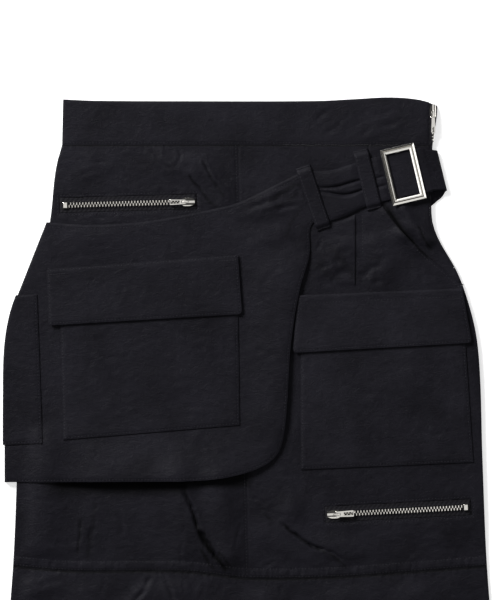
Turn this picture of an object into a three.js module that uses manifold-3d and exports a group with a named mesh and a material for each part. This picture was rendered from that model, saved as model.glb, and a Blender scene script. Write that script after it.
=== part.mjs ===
// A black cargo utility skirt, laid flat on its back with the front facing up.
// Millimetres. X runs across the skirt, Y towards the waist, Z up from the surface that it lies on.
// The origin is on that surface, below the middle of the laid skirt.
import * as THREE from 'three';
import { mergeVertices } from 'three/addons/utils/BufferGeometryUtils.js';
import Module from 'manifold-3d';

const wasm = await Module();
wasm.setup();

// Cloth
const CLOTH = 1.2;
const GAP = 0.3;
const PLY = CLOTH + GAP;
const TURN_INSET = 0.15;
const LATTICE = 15;
const TIER_LATTICE = 25;
const TIER_LATTICE_X = 20;
const WIDE_LATTICE = 60;

// The laid skirt
const WAIST_SEAM_Y = 332.2;
const TIER_SEAM_Y = -52;
const HEM_Y = -375;
const OVERLAY_TOP_Y = 262.6;
const OVERLAY_BOTTOM_Y = 29;
const HIGHEST_Z = 60;

// The edge of the laid skirt on each side, a row for each station down it
const SIDES = [
  { y: 376, left: -167.6, right: 168.4 },
  { y: 360, left: -168, right: 168.2 },
  { y: 333, left: -168.8, right: 164.2 },
  { y: 318, left: -173, right: 163.6 },
  { y: 300, left: -176, right: 163 },
  { y: 278, left: -178, right: 163 },
  { y: 262, left: -180, right: 164.2 },
  { y: 246, left: -183, right: 170.2 },
  { y: 218, left: -188.5, right: 186.2 },
  { y: 190, left: -196.2, right: 196.4 },
  { y: 160, left: -203.4, right: 203.6 },
  { y: 121, left: -207, right: 207 },
  { y: 50, left: -209, right: 209 },
  { y: -52, left: -213.5, right: 213.5 },
  { y: -210, left: -227, right: 227 },
  { y: -376, left: -240, right: 240 },
];

// The top edge of the waistband
const WAIST_TOP = [
  { x: -168.4, y: 373.2 },
  { x: -140, y: 372 },
  { x: -60, y: 371.6 },
  { x: 60, y: 371.8 },
  { x: 100, y: 373.8 },
  { x: 122, y: 375 },
  { x: 142, y: 374.2 },
  { x: 158, y: 371.6 },
  { x: 168.8, y: 367.4 },
];

// The seam between the hip and the tier below it
const TIER_SEAM = [
  { x: -214, y: -46.5 },
  { x: -160, y: -51 },
  { x: -60, y: -51.4 },
  { x: 0, y: -57.5 },
  { x: 75, y: -56.6 },
  { x: 137, y: -52.4 },
  { x: 214, y: -46.4 },
];

// Where the tier seam meets the side seams, and how far from them its first and last points lie
const SEAM_END_X = 213;
const SEAM_LAST_X = 205;
const BACK_SEAM_X = 210.5;
// Points along the seam on half of the front, the back and the tier, and along the waistband's top
const POINTS = { half: 12, back: 14, tier: 16, waist: 11 };

// The centre front seam leans a little, from the waist to the tier
const CENTRE_TOP_X = -10.8;
const CENTRE_BOTTOM_X = -0.9;

// The edge of the front panel along the hand pocket, which is cut across the hip down to the side
const HAND_POCKET = [
  { x: 106, y: 332.05 },
  { x: 112, y: 300 },
  { x: 121.5, y: 276.5 },
  { x: 136.8, y: 255.8 },
  { x: 157.5, y: 234.2 },
  { x: 173.7, y: 219.8 },
  { x: 188.9, y: 206 },
];
const HAND_POCKET_END_Y = 206;

// Left edge, top edge, free edge and round lower corner of the overlay
const OVERLAY_LEFT = [
  { x: -182.8, y: 262.6 },
  { x: -202.6, y: 212.6 },
  { x: -214, y: 182 },
  { x: -219.4, y: 150 },
  { x: -220.5, y: 104 },
  { x: -220.5, y: 29 },
];
const OVERLAY_TOP = [
  { x: -182.8, y: 262.6 },
  { x: -140, y: 260.4 },
  { x: -90, y: 264 },
  { x: -31, y: 275 },
  { x: -8, y: 281.4 },
  { x: 22, y: 296 },
  { x: 45, y: 307.4 },
];
const OVERLAY_FREE = [
  { x: 62.4, y: 264.6 },
  { x: 56.6, y: 262 },
  { x: 53.4, y: 254 },
  { x: 53, y: 232 },
  { x: 44, y: 200 },
  { x: 36.5, y: 152 },
  { x: 33.6, y: 104 },
];
const OVERLAY_ROUND = [
  { x: 33.6, y: 104 },
  { x: 31.6, y: 82 },
  { x: 29.4, y: 67 },
  { x: 25.6, y: 56.2 },
  { x: 17.6, y: 47.2 },
  { x: 3, y: 39.8 },
  { x: -18, y: 34 },
  { x: -39, y: 31.2 },
  { x: -60, y: 30 },
];
const OVERLAY_BACK = { innerX: -86, cornerR: 42, topY: 262 };

// Patch pockets and flaps, each by its four corners
const FRONT_POCKET = [
  { x: -171.5, y: 216 },
  { x: -11.6, y: 228 },
  { x: -9.4, y: 80.6 },
  { x: -167.8, y: 67.4 },
];
const FRONT_FLAP = [
  { x: -182.4, y: 220.4 },
  { x: -11, y: 233.6 },
  { x: -7.2, y: 180.2 },
  { x: -181, y: 170 },
];
const SIDE_POCKET = {
  topLeftY: 197, topX: -191.5, topY: 198, firstRowY: 194,
  bottomX: -186.5, bottomY: 64.4, leftBottomY: 62.6,
};
const CARGO_POCKET = [
  { x: 45.4, y: 192 },
  { x: 190.5, y: 198 },
  { x: 200.5, y: 47.2 },
  { x: 45.4, y: 40.4 },
];
const CARGO_FLAP = [
  { x: 43, y: 197 },
  { x: 190.5, y: 203.4 },
  { x: 199.2, y: 154.4 },
  { x: 38.4, y: 145.4 },
];
const FLAP_CORNER = 4;
const FLAP_LIFT = 1.2;

// How the layers lie: where the back is propped up by what lies under it
const PROP = { flatTopY: 333, restTopY: 372, flatBottomY: 10, restBottomY: -46 };

// Soft ridges in the front, from one end to the other, where the cloth stands clear of the back
const HIP_FOLDS = [
  { x1: -184, y1: 60, x2: -188, y2: -40, height: 3.6, width: 17 },
  { x1: -66, y1: 35, x2: -50, y2: -40, height: 2.2, width: 13 },
  { x1: -30, y1: 30, x2: -18, y2: -42, height: 4.2, width: 15 },
  { x1: 38, y1: 4, x2: 92, y2: -36, height: 2.2, width: 11 },
  { x1: 14, y1: -18, x2: 60, y2: -44, height: 1.6, width: 11 },
  { x1: -76, y1: 322, x2: -46, y2: 284, height: 1.6, width: 13 },
  { x1: -50, y1: 320, x2: -26, y2: 290, height: 1.5, width: 11 },
  { x1: 82, y1: 240, x2: 70, y2: 222, height: 1.5, width: 11 },
  { x1: 112, y1: 244, x2: 124, y2: 224, height: 2, width: 13 },
  { x1: 128, y1: 110, x2: 120, y2: 84, height: 1.2, width: 34 },
];
// The hand pocket's edge stands open over the piece behind it
const POCKET_LIFT = [
  { x1: 128, y1: 266, x2: 136.8, y2: 255.8, height: 2.6, width: 10 },
  { x1: 136.8, y1: 255.8, x2: 173.7, y2: 219.8, height: 1.8, width: 10 },
];
const TIER_FOLDS = [
  { x1: -196, y1: -66, x2: -214, y2: -180, height: 2.6, width: 17 },
  { x1: -150, y1: -70, x2: -156, y2: -150, height: 1.6, width: 15 },
  { x1: -88, y1: -64, x2: -112, y2: -150, height: 2.6, width: 14 },
  { x1: -66, y1: -64, x2: -58, y2: -210, height: 2.8, width: 15 },
  { x1: 10, y1: -72, x2: 4, y2: -170, height: 1.8, width: 16 },
  { x1: 84, y1: -72, x2: 92, y2: -240, height: 2.4, width: 17 },
  { x1: 150, y1: -70, x2: 168, y2: -200, height: 2.2, width: 17 },
  { x1: -120, y1: -230, x2: -132, y2: -352, height: 2.6, width: 20 },
  { x1: -20, y1: -240, x2: -14, y2: -356, height: 2.4, width: 19 },
  { x1: 170, y1: -250, x2: 180, y2: -350, height: 2.2, width: 19 },
];
const OVERLAY_FOLDS = [
  { x1: 36, y1: 214, x2: 28, y2: 90, height: 3.4, width: 26 },
  { x1: -140, y1: 30, x2: -10, y2: 34, height: 4, width: 38 },
  { x1: -130, y1: 31, x2: -66, y2: 31, height: 2.6, width: 20 },
  { x1: 6, y1: 272, x2: 36, y2: 286, height: 1.5, width: 10 },
  { x1: 14, y1: 248, x2: 42, y2: 262, height: 1.4, width: 11 },
  { x1: -150, y1: 252, x2: -120, y2: 250, height: 1.2, width: 14 },
];

// Stretches where a flat piece lies on the cloth, which stays smooth there
const CALM = [
  { x1: 60, y1: 290, x2: 176, y2: 308, reach: 38 },
  { x1: -172, y1: 278, x2: -46, y2: 281, reach: 13 },
  { x1: 66, y1: 0, x2: 200, y2: 6, reach: 13 },
];
const CALM_FADE = 16;
// Over how far the folds rise, inwards from a side edge, a seam, the hem and the overlay's edge
const EDGE_FADE = [4, 18];
const SEAM_FADE = [2, 22];
const WAIST_FADE = 18;
const HEM_FADE = 20;
const OVERLAY_FADE = [6, 26];
// The overlay lies smooth where the inner belt loop is sewn down on it
const LOOP_END = { x: 57, y: 284, fade: [24, 40] };

// The belt, from the overlay through two loops to the buckle. Each row is one section across it
const BELT = [
  { topX: 50.2, topY: 308, bottomX: 64, bottomY: 261.4 },
  { topX: 74, topY: 309.6, bottomX: 85.5, bottomY: 268 },
  { topX: 93.6, topY: 315.6, bottomX: 104.4, bottomY: 277 },
  { topX: 113, topY: 321, bottomX: 122.4, bottomY: 282 },
  { topX: 131, topY: 324.1, bottomX: 140, bottomY: 286.2 },
];
// How far each lengthwise tuck of the belt stands up, from its top edge to its lower edge
const BELT_TUCKS = [
  { across: 0, lift: 0 },
  { across: 0.14, lift: 1.9 },
  { across: 0.28, lift: 2.2 },
  { across: 0.38, lift: 0 },
  { across: 0.47, lift: 1.5 },
  { across: 0.54, lift: 0.1 },
  { across: 0.7, lift: 2 },
  { across: 0.88, lift: 1.4 },
  { across: 1, lift: 0 },
];
const BELT_STEPS = { along: 16, across: 12 };
// Where the tucks are pressed down, as shares of the belt's length: from the inner loop on, on both
// sides of the outer loop, and under the buckle. A share of each tuck stays by the loops
const TUCK_PRESS = { inner: [0.02, 0.24], outer: [0.06, 0.2], outerAt: 0.63, buckle: [0.72, 0.82], left: 0.25 };
// The belt's other end, from the buckle round the side and across the back
const TAIL = [
  { topX: 120.3, topY: 321.4, bottomX: 129.2, bottomY: 283.8, z: 6.9 },
  { topX: 150, topY: 328, bottomX: 158, bottomY: 290, z: 6.9 },
  { topX: 158, topY: 328, bottomX: 167, bottomY: 291, z: 6.1 },
  { topX: 165.6, topY: 327.4, bottomX: 174.6, bottomY: 291.4, z: 5.1 },
  { topX: 168, topY: 326.8, bottomX: 176.8, bottomY: 291, z: 3.3 },
  { topX: 167.4, topY: 326, bottomX: 175.6, bottomY: 290, z: 1.5 },
  { topX: 163, topY: 323, bottomX: 170, bottomY: 283, z: 0.6 },
  { topX: 146, topY: 314, bottomX: 150, bottomY: 272, z: 0.6 },
  { topX: 80, topY: 300, bottomX: 84, bottomY: 260, z: 0.6 },
  { topX: -85.4, topY: 262, bottomX: -85.4, bottomY: 222, z: 0.6 },
];

// Belt loops, each by the middle of its two sewn ends
const LOOP = { width: 13.2, sewnEnd: 2, ramp: 2.6, stand: 1.2, steps: 10 };
const LOOPS = [
  { name: 'belt_loop_inner', topX: 47.4, topY: 312.6, bottomX: 66.6, bottomY: 256.6 },
  { name: 'belt_loop_outer', topX: 99, topY: 327.6, bottomX: 112, bottomY: 274.4 },
];

// Buckle: a frame with a sloped inner face, and the bar that the belt goes round
const BUCKLE = {
  x: 137.4, y: 305.6, z: 7.9, turn: 13.3, width: 31, height: 51, rimHigh: 2.4, rimLow: 0.9,
  outerRim: 1.7, innerWidth: 21, innerHeight: 41.4, bar: 1.5, barZ: 4.5, barShort: 2, slopeOver: 0.2,
};

// Zips
const ZIP = {
  tapeThick: 0.9, tapeBelow: 0.3, chainHeight: 1.3, stopLength: 4.2, stopWidth: 5.6, stopHeight: 1.6,
  windowClear: 0.4, windowEnd: 2, sliderLength: 11.4, sliderHeight: 2.4, sliderAhead: 8,
  sliderNose: 0.62, sliderHeel: 0.78, sliderFlare: 4, sliderBack: 2, sliderRound: 1,
  bridgeHalf: 2.6, bridgeWidth: 1.3, bridgeInner: 1.7, bridgeWall: 0.6, bridgeEnd: 0.8, bridgeSunk: 0.4,
  axleLift: 0.9, axleR: 0.5, axleShort: 0.6, eyeReach: 3.7, eyeHalf: 1, pullThick: 0.9, pullTilt: 2.5,
  pullTaper: 0.3, pullRound: 1, holeLength: 5.6, holeEnd: 1.4, holeRim: 1.3,
};
const UPPER_ZIP = {
  x: -57.7, y: 280.9, turn: 181.6, climb: 0, chain: 102.3, chainWidth: 4.6, sliderWidth: 7.4,
  window: [123.5, 13.6], pull: [14.6, 5.2],
};
const LOWER_ZIP = {
  x: 77.4, y: 0.3, turn: 3, climb: 0, chain: 110.6, chainWidth: 4.6, sliderWidth: 7.4,
  window: [131.8, 14.6], pull: [16, 6],
};
const SIDE_ZIP = {
  x: 164.6, y: 360.5, turn: -90, climb: 2.2, chain: 24, chainWidth: 2.4, sliderWidth: 6,
  pull: [17.8, 3.8], endY: 222, frontX: 161, tapeTop: 2, tongue: 3, edge: 1,
};

// Points, interpolation and outlines

// Reads a column of a table at a place along another column, smoothly
function tableAt(rows, key, column, at) {
  const up = rows[0][key] < rows[rows.length - 1][key] ? rows : [...rows].reverse();
  const last = up.length - 1;
  const i = Math.min(last - 1, Math.max(0, up.findIndex((row) => row[key] > at) - 1));
  const from = at >= up[last][key] ? last - 1 : i;
  const t = THREE.MathUtils.clamp((at - up[from][key]) / (up[from + 1][key] - up[from][key]), 0, 1);
  const slope = (a, b) => (up[b][column] - up[a][column]) / (up[b][key] - up[a][key]);
  const span = up[from + 1][key] - up[from][key];
  const tangent = (k) => slope(Math.max(0, k - 1), Math.min(last, k + 1)) * span;
  const [t2, t3] = [t * t, t * t * t];
  return (2 * t3 - 3 * t2 + 1) * up[from][column] + (t3 - 2 * t2 + t) * tangent(from)
    + (3 * t2 - 2 * t3) * up[from + 1][column] + (t3 - t2) * tangent(from + 1);
}

const sideAt = (side, y) => tableAt(SIDES, 'y', side, y);
const tierSeamAt = (x) => tableAt(TIER_SEAM, 'x', 'y', x);
const waistTopAt = (x) => tableAt(WAIST_TOP, 'x', 'y', x);
const centreAt = (y) => THREE.MathUtils.mapLinear(y, WAIST_SEAM_Y, TIER_SEAM_Y, CENTRE_TOP_X, CENTRE_BOTTOM_X);

// Evenly spaced numbers from one to another, both ends included
function steps(from, to, count) {
  return Array.from({ length: count + 1 }, (_, i) => from + ((to - from) * i) / Math.max(1, count));
}

// A smooth rise from 0 to 1 between two values
const rise = (low, high, at) => THREE.MathUtils.smoothstep(at, low, high);

// The distance from a point to a segment
function segmentDistance(row, x, y) {
  const [dx, dy] = [row.x2 - row.x1, row.y2 - row.y1];
  const t = THREE.MathUtils.clamp(((x - row.x1) * dx + (y - row.y1) * dy) / (dx * dx + dy * dy), 0, 1);
  return Math.hypot(x - row.x1 - t * dx, y - row.y1 - t * dy);
}

const corner = (x, y) => new THREE.Vector2(x, y);
const corners = (rows) => rows.map((row) => corner(row.x, row.y));
const curved = (rows, divisions) => new THREE.SplineCurve(corners(rows)).getPoints(divisions);
const rectangle = (width, height) => [
  corner(-width / 2, -height / 2), corner(width / 2, -height / 2),
  corner(width / 2, height / 2), corner(-width / 2, height / 2),
];

// Rounds the sharp corners of an outline that are listed by index
function roundCorners(points, radius, which) {
  const path = new THREE.Path();
  points.forEach((p, i) => {
    const before = points[(i + points.length - 1) % points.length];
    const after = points[(i + 1) % points.length];
    const start = which.includes(i) ? p.clone().lerp(before, radius / p.distanceTo(before)) : p;
    if (i === 0) path.moveTo(start.x, start.y);
    else path.lineTo(start.x, start.y);
    if (which.includes(i)) {
      const end = p.clone().lerp(after, radius / p.distanceTo(after));
      path.quadraticCurveTo(p.x, p.y, end.x, end.y);
    }
  });
  return path.getPoints(4);
}

// Solids

// A three.js geometry as a solid that can be cut and joined
function solidOf(geometry) {
  const bare = geometry.index ? geometry.toNonIndexed() : geometry.clone();
  bare.deleteAttribute('normal');
  bare.deleteAttribute('uv');
  const merged = mergeVertices(bare, 1e-4);
  return new wasm.Manifold(new wasm.Mesh({
    numProp: 3,
    vertProperties: new Float32Array(merged.attributes.position.array),
    triVerts: new Uint32Array(merged.index.array),
  }));
}

// The geometry of a solid
function geometryOf(solid) {
  const mesh = solid.getMesh();
  const geometry = new THREE.BufferGeometry();
  const points = new Float32Array((mesh.vertProperties.length / mesh.numProp) * 3);
  for (let i = 0; i < points.length / 3; i += 1) {
    for (let k = 0; k < 3; k += 1) points[i * 3 + k] = mesh.vertProperties[i * mesh.numProp + k];
  }
  geometry.setAttribute('position', new THREE.BufferAttribute(points, 3));
  geometry.setIndex(new THREE.BufferAttribute(new Uint32Array(mesh.triVerts), 1));
  return geometry;
}

// A straight prism over an outline
function prism(outline, low, high) {
  const shape = new THREE.Shape(outline);
  const options = { depth: high - low, bevelEnabled: false, curveSegments: 6 };
  const geometry = new THREE.ExtrudeGeometry(shape, options);
  return solidOf(geometry.translate(0, 0, low));
}

// A closed skin over a grid of points, with upper[row][column] over lower[row][column]
function skin(upper, lower) {
  const [rows, columns] = [upper.length, upper[0].length];
  const points = [...upper.flat(), ...lower.flat()];
  const at = (layer, row, column) => layer * rows * columns + row * columns + column;
  const faces = [];
  const quad = (a, b, c, d) => faces.push(a, b, c, a, c, d);
  for (let r = 0; r < rows - 1; r += 1) {
    for (let c = 0; c < columns - 1; c += 1) {
      const top = [at(0, r, c), at(0, r, c + 1), at(0, r + 1, c + 1), at(0, r + 1, c)];
      const under = [at(1, r, c), at(1, r, c + 1), at(1, r + 1, c + 1), at(1, r + 1, c)];
      quad(...top);
      faces.push(under[2], under[1], under[0], under[3], under[2], under[0]);
    }
  }
  for (let c = 0; c < columns - 1; c += 1) {
    quad(at(0, 0, c + 1), at(0, 0, c), at(1, 0, c), at(1, 0, c + 1));
    quad(at(0, rows - 1, c), at(0, rows - 1, c + 1), at(1, rows - 1, c + 1), at(1, rows - 1, c));
  }
  for (let r = 0; r < rows - 1; r += 1) {
    quad(at(0, r, 0), at(0, r + 1, 0), at(1, r + 1, 0), at(1, r, 0));
    quad(at(0, r + 1, columns - 1), at(0, r, columns - 1), at(1, r, columns - 1), at(1, r + 1, columns - 1));
  }
  const geometry = new THREE.BufferGeometry().setFromPoints(points);
  geometry.setIndex(faces);
  return geometry;
}

// Uncut cloth over an area, between two heights given by functions. All layers share one lattice,
// so that a layer moved up from another stays parallel to it
function sheet(outline, under, top, latticeX = LATTICE, latticeY = LATTICE) {
  const box = new THREE.Box2().setFromPoints(outline);
  const lines = (low, high, step) => {
    const first = Math.floor((low - 1) / step);
    const last = Math.ceil((high + 1) / step);
    return steps(first * step, last * step, last - first);
  };
  const xs = lines(box.min.x, box.max.x, latticeX);
  const ys = lines(box.min.y, box.max.y, latticeY);
  const layer = (height) => ys.map((y) => xs.map((x) => new THREE.Vector3(x, y, height(x, y))));
  return solidOf(skin(layer(top), layer(under)));
}

// A panel cut from cloth of one thickness, by its outline
function panel(outline, under, thickness = CLOTH, latticeX = LATTICE, latticeY = LATTICE) {
  const cloth = sheet(outline, under, (x, y) => under(x, y) + thickness, latticeX, latticeY);
  return cloth.intersect(prism(outline, -1, HIGHEST_Z));
}

// A side wall, where a panel's edge turns down to a lower level. It starts inside the panel's thickness
function turnedEdge(outline, low, top, latticeY = LATTICE) {
  return sheet(outline, low, top, WIDE_LATTICE, latticeY).intersect(prism(outline, -1, HIGHEST_Z));
}

// A strip of cloth over sections, each from its top edge to its lower edge, thickened across its normal
function strip(sections, thickness) {
  const side = (points, sign) => points.map((row, r) => row.map((p, c) => {
    const along = points[Math.min(r + 1, points.length - 1)][c].clone().sub(points[Math.max(r - 1, 0)][c]);
    const across = row[Math.min(c + 1, row.length - 1)].clone().sub(row[Math.max(c - 1, 0)]);
    return p.clone().addScaledVector(across.cross(along).normalize(), (sign * thickness) / 2);
  }));
  return solidOf(skin(side(sections, 1), side(sections, -1)));
}

// Heights of the layers

const prop = (y) => PLY * rise(PROP.restBottomY, PROP.flatBottomY, y)
  * THREE.MathUtils.clamp((PROP.restTopY - y) / (PROP.restTopY - PROP.flatTopY), 0, 1);

const ridges = (rows, x, y) => rows.reduce(
  (sum, row) => sum + row.height * Math.exp(-((segmentDistance(row, x, y) / row.width) ** 2)), 0,
);

function calm(x, y) {
  const flat = CALM.reduce(
    (share, row) => share * rise(row.reach, row.reach + CALM_FADE, segmentDistance(row, x, y)), 1,
  );
  const left = rise(...EDGE_FADE, x - sideAt('left', y));
  const right = rise(...EDGE_FADE, sideAt('right', y) - x);
  return flat * left * right;
}

const seamFade = (x, y) => rise(...SEAM_FADE, Math.abs(y - tierSeamAt(x)));
const backUnder = (x, y) => prop(y);
const bearerUnder = (x, y) => prop(y) + PLY + ridges(HIP_FOLDS, x, y) * calm(x, y)
  * seamFade(x, y) * rise(0, WAIST_FADE, WAIST_SEAM_Y - y);
const frontUnder = (x, y) => bearerUnder(x, y)
  + ridges(POCKET_LIFT, x, y) * calm(x, y) * rise(0, HEM_FADE, y - CARGO_FLAP[1].y);
const tierUnder = (x, y) => prop(y) + PLY + ridges(TIER_FOLDS, x, y) * calm(x, y)
  * seamFade(x, y) * rise(0, HEM_FADE, y - HEM_Y);
const overlayUnder = (x, y) => frontUnder(x, y) + PLY + ridges(OVERLAY_FOLDS, x, y)
  * rise(...OVERLAY_FADE, x - tableAt(OVERLAY_LEFT, 'y', 'x', y))
  * rise(...LOOP_END.fade, Math.hypot(x - LOOP_END.x, y - LOOP_END.y));
const onto = (under, layers) => (x, y) => under(x, y) + layers * PLY;

// The level in the middle of the front's thickness
const midFront = (x, y) => prop(y) + PLY + CLOTH / 2;

// Waist

const WAIST_LEFT = WAIST_TOP[0].x + GAP;
const WAIST_RIGHT_Y = 366;
const bandBottomY = WAIST_SEAM_Y + GAP / 2;

function waistbandFront() {
  const top = steps(WAIST_LEFT, SIDE_ZIP.frontX, POINTS.waist).map((x) => corner(x, waistTopAt(x)));
  const lowX = sideAt('left', bandBottomY);
  const outline = [corner(lowX, bandBottomY), corner(SIDE_ZIP.frontX, bandBottomY), ...top.reverse()];
  const under = (x, y) => prop(y) + PLY;
  const lowY = bandBottomY + TURN_INSET;
  const topY = waistTopAt(WAIST_LEFT) - TURN_INSET;
  const wall = [
    corner(lowX + TURN_INSET, lowY), corner(lowX + CLOTH, lowY),
    corner(WAIST_LEFT + CLOTH, topY), corner(WAIST_LEFT + TURN_INSET, topY),
  ];
  return panel(outline, under, CLOTH, WIDE_LATTICE).add(turnedEdge(wall, backUnder, midFront));
}

function waistbandBack() {
  const [left, right] = [WAIST_LEFT + CLOTH + GAP, sideAt('right', WAIST_RIGHT_Y)];
  const top = steps(left, right, POINTS.waist).map((x) => corner(x, waistTopAt(x)));
  const side = sideEdge('right', bandBottomY, WAIST_RIGHT_Y, 0);
  return panel([corner(left, bandBottomY), ...side, ...top.reverse()], backUnder, CLOTH, WIDE_LATTICE);
}

// Hip panels

// The side edge of the hip or the tier between two heights, moved in by a distance. Every edge takes its
// points at the same heights, so that two of them stay a constant distance apart
function sideEdge(side, fromY, toY, inset, pitch = LATTICE) {
  const [low, high] = [Math.min(fromY, toY), Math.max(fromY, toY)];
  const [first, last] = [Math.ceil((low + 1) / pitch), Math.floor((high - 1) / pitch)];
  const between = last < first ? [] : steps(first * pitch, last * pitch, last - first);
  const ys = [low, ...between, high];
  if (fromY > toY) ys.reverse();
  return ys.map((y) => corner(sideAt(side, y) + (side === 'left' ? inset : -inset), y));
}
const hipBottom = (fromX, toX, count) => steps(fromX, toX, count)
  .map((x) => corner(x, tierSeamAt(x) + GAP / 2));
const hipTopY = WAIST_SEAM_Y - GAP / 2;

// A thin outline along a side edge
function wallOutline(side, fromY, toY, inner, pitch = LATTICE) {
  const inset = fromY > toY ? TURN_INSET : -TURN_INSET;
  const [a, b] = [fromY - inset, toY + inset];
  return [...sideEdge(side, a, b, TURN_INSET, pitch), ...sideEdge(side, b, a, inner, pitch)];
}

// A window in a panel for a zip
function zipWindow(zip) {
  const [length, width] = zip.window;
  const middle = corner(length / 2 - ZIP.sliderAhead - ZIP.windowEnd, 0);
  const outline = rectangle(length, width).map((p) => p.add(middle)
    .rotateAround(corner(0, 0), THREE.MathUtils.degToRad(zip.turn)).add(corner(zip.x, zip.y)));
  return prism(outline, -1, HIGHEST_Z);
}

function frontLeft() {
  const bottomLeftY = tierSeamAt(-SEAM_END_X) + GAP / 2;
  const outline = [
    ...sideEdge('left', hipTopY, bottomLeftY, 0),
    ...hipBottom(-SEAM_LAST_X, centreAt(TIER_SEAM_Y) - GAP / 2, POINTS.half),
    corner(centreAt(hipTopY) - GAP / 2, hipTopY),
  ];
  const wall = wallOutline('left', hipTopY, bottomLeftY, CLOTH);
  return panel(outline, frontUnder)
    .add(turnedEdge(wall, backUnder, midFront))
    .subtract(zipWindow(UPPER_ZIP));
}

const SIDE_INSET = CLOTH + GAP;
const HAND_POCKET_POINTS = 16;
const handPocketEdge = (shift) => curved(HAND_POCKET, HAND_POCKET_POINTS).map((p) => corner(p.x + shift, p.y));

function frontRight() {
  const bottomRightY = tierSeamAt(SEAM_END_X) + GAP / 2;
  const outline = [
    corner(centreAt(hipTopY) + GAP / 2, hipTopY),
    ...hipBottom(centreAt(TIER_SEAM_Y) + GAP / 2, SEAM_LAST_X, POINTS.half),
    ...sideEdge('right', bottomRightY, HAND_POCKET_END_Y - 1, 0),
    ...handPocketEdge(0).reverse(),
  ];
  const wall = wallOutline('right', bottomRightY, HAND_POCKET_END_Y - 1, CLOTH);
  return panel(outline, frontUnder)
    .add(turnedEdge(wall, backUnder, midFront))
    .subtract(zipWindow(LOWER_ZIP));
}

// The hip piece behind the hand pocket's edge
function hipBearer() {
  const [lowY, zipY] = [HAND_POCKET_END_Y + GAP, SIDE_ZIP.endY - GAP];
  const outline = [
    ...handPocketEdge(GAP),
    ...sideEdge('right', lowY, zipY, 0),
    ...sideEdge('right', zipY, hipTopY, SIDE_INSET),
  ];
  const wall = wallOutline('right', lowY, zipY, CLOTH);
  return panel(outline, bearerUnder).add(turnedEdge(wall, backUnder, midFront));
}

function hipBack() {
  const outline = [
    ...sideEdge('left', hipTopY, tierSeamAt(-SEAM_END_X) + GAP, SIDE_INSET),
    ...hipBottom(-BACK_SEAM_X, BACK_SEAM_X, POINTS.back),
    ...sideEdge('right', tierSeamAt(SEAM_END_X) + GAP, hipTopY, SIDE_INSET),
  ];
  return panel(outline, backUnder, CLOTH, WIDE_LATTICE);
}

// Tier

const tierTop = (halfWidth, count) => steps(halfWidth, -halfWidth, count)
  .map((x) => corner(x, tierSeamAt(x) - GAP / 2));

function tierFront() {
  const topLeftY = tierSeamAt(-SEAM_END_X) - GAP / 2;
  const outline = [
    ...sideEdge('left', topLeftY, HEM_Y, 0, TIER_LATTICE),
    ...sideEdge('right', HEM_Y, tierSeamAt(SEAM_END_X) - GAP / 2, 0, TIER_LATTICE),
    ...tierTop(SEAM_LAST_X, POINTS.tier),
  ];
  const walls = ['left', 'right'].map((side) => turnedEdge(
    wallOutline(side, topLeftY, HEM_Y, CLOTH, TIER_LATTICE), backUnder, midFront, TIER_LATTICE,
  ));
  return panel(outline, tierUnder, CLOTH, TIER_LATTICE_X, TIER_LATTICE).add(walls[0]).add(walls[1]);
}

function tierBack() {
  const outline = [
    ...sideEdge('left', tierSeamAt(-SEAM_END_X) - GAP, HEM_Y, SIDE_INSET, TIER_LATTICE),
    ...sideEdge('right', HEM_Y, tierSeamAt(SEAM_END_X) - GAP, SIDE_INSET, TIER_LATTICE),
    ...tierTop(BACK_SEAM_X, POINTS.back),
  ];
  return panel(outline, backUnder, CLOTH, WIDE_LATTICE, TIER_LATTICE);
}

// Overlay

const overlayLeft = (inset) => OVERLAY_LEFT.map((row) => corner(row.x + inset, row.y));

// Draws the ends of a thin outline in a little, where it turns at a given corner
function pulledIn(outline, turn) {
  const ends = new Map([[0, -1], [turn - 1, 1], [turn, 1], [outline.length - 1, -1]]);
  return outline.map((p, i) => corner(p.x, p.y + TURN_INSET * (ends.get(i) ?? 0)));
}

function overlay() {
  const front = [
    ...overlayLeft(0),
    ...corners(OVERLAY_ROUND).reverse(),
    ...curved(OVERLAY_FREE, 9).slice(0, -1).reverse(),
    ...curved(OVERLAY_TOP, 12).reverse().slice(0, -1),
  ];
  const wall = pulledIn([...overlayLeft(TURN_INSET), ...overlayLeft(CLOTH).reverse()], OVERLAY_LEFT.length);
  const innerX = OVERLAY_BACK.innerX;
  const back = roundCorners([
    ...overlayLeft(0),
    corner(innerX, OVERLAY_BOTTOM_Y),
    corner(innerX, OVERLAY_BACK.topY),
  ], OVERLAY_BACK.cornerR, [OVERLAY_LEFT.length]);
  const level = (z) => () => z;
  return panel(front, overlayUnder)
    .add(turnedEdge(wall, level(CLOTH / 2), (x, y) => midFront(x, y) + PLY))
    .add(panel(back, level(0), CLOTH, WIDE_LATTICE, WIDE_LATTICE));
}

// Pockets and flaps. Each lies on what carries it and is made from its heights, moved out

function frontPocket() {
  return panel(corners(FRONT_POCKET), onto(overlayUnder, 1));
}

// Lifts a flap's free edge off the pocket below it
const flapLift = (rows, under) => (x, y) => {
  const share = THREE.MathUtils.clamp((rows[0].y - y) / (rows[0].y - rows[3].y), 0, 1);
  return under(x, y) + FLAP_LIFT * share * share;
};

function frontFlap() {
  const outline = roundCorners(corners(FRONT_FLAP), FLAP_CORNER, [2, 3]);
  return panel(outline, flapLift(FRONT_FLAP, onto(overlayUnder, 2)));
}

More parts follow.
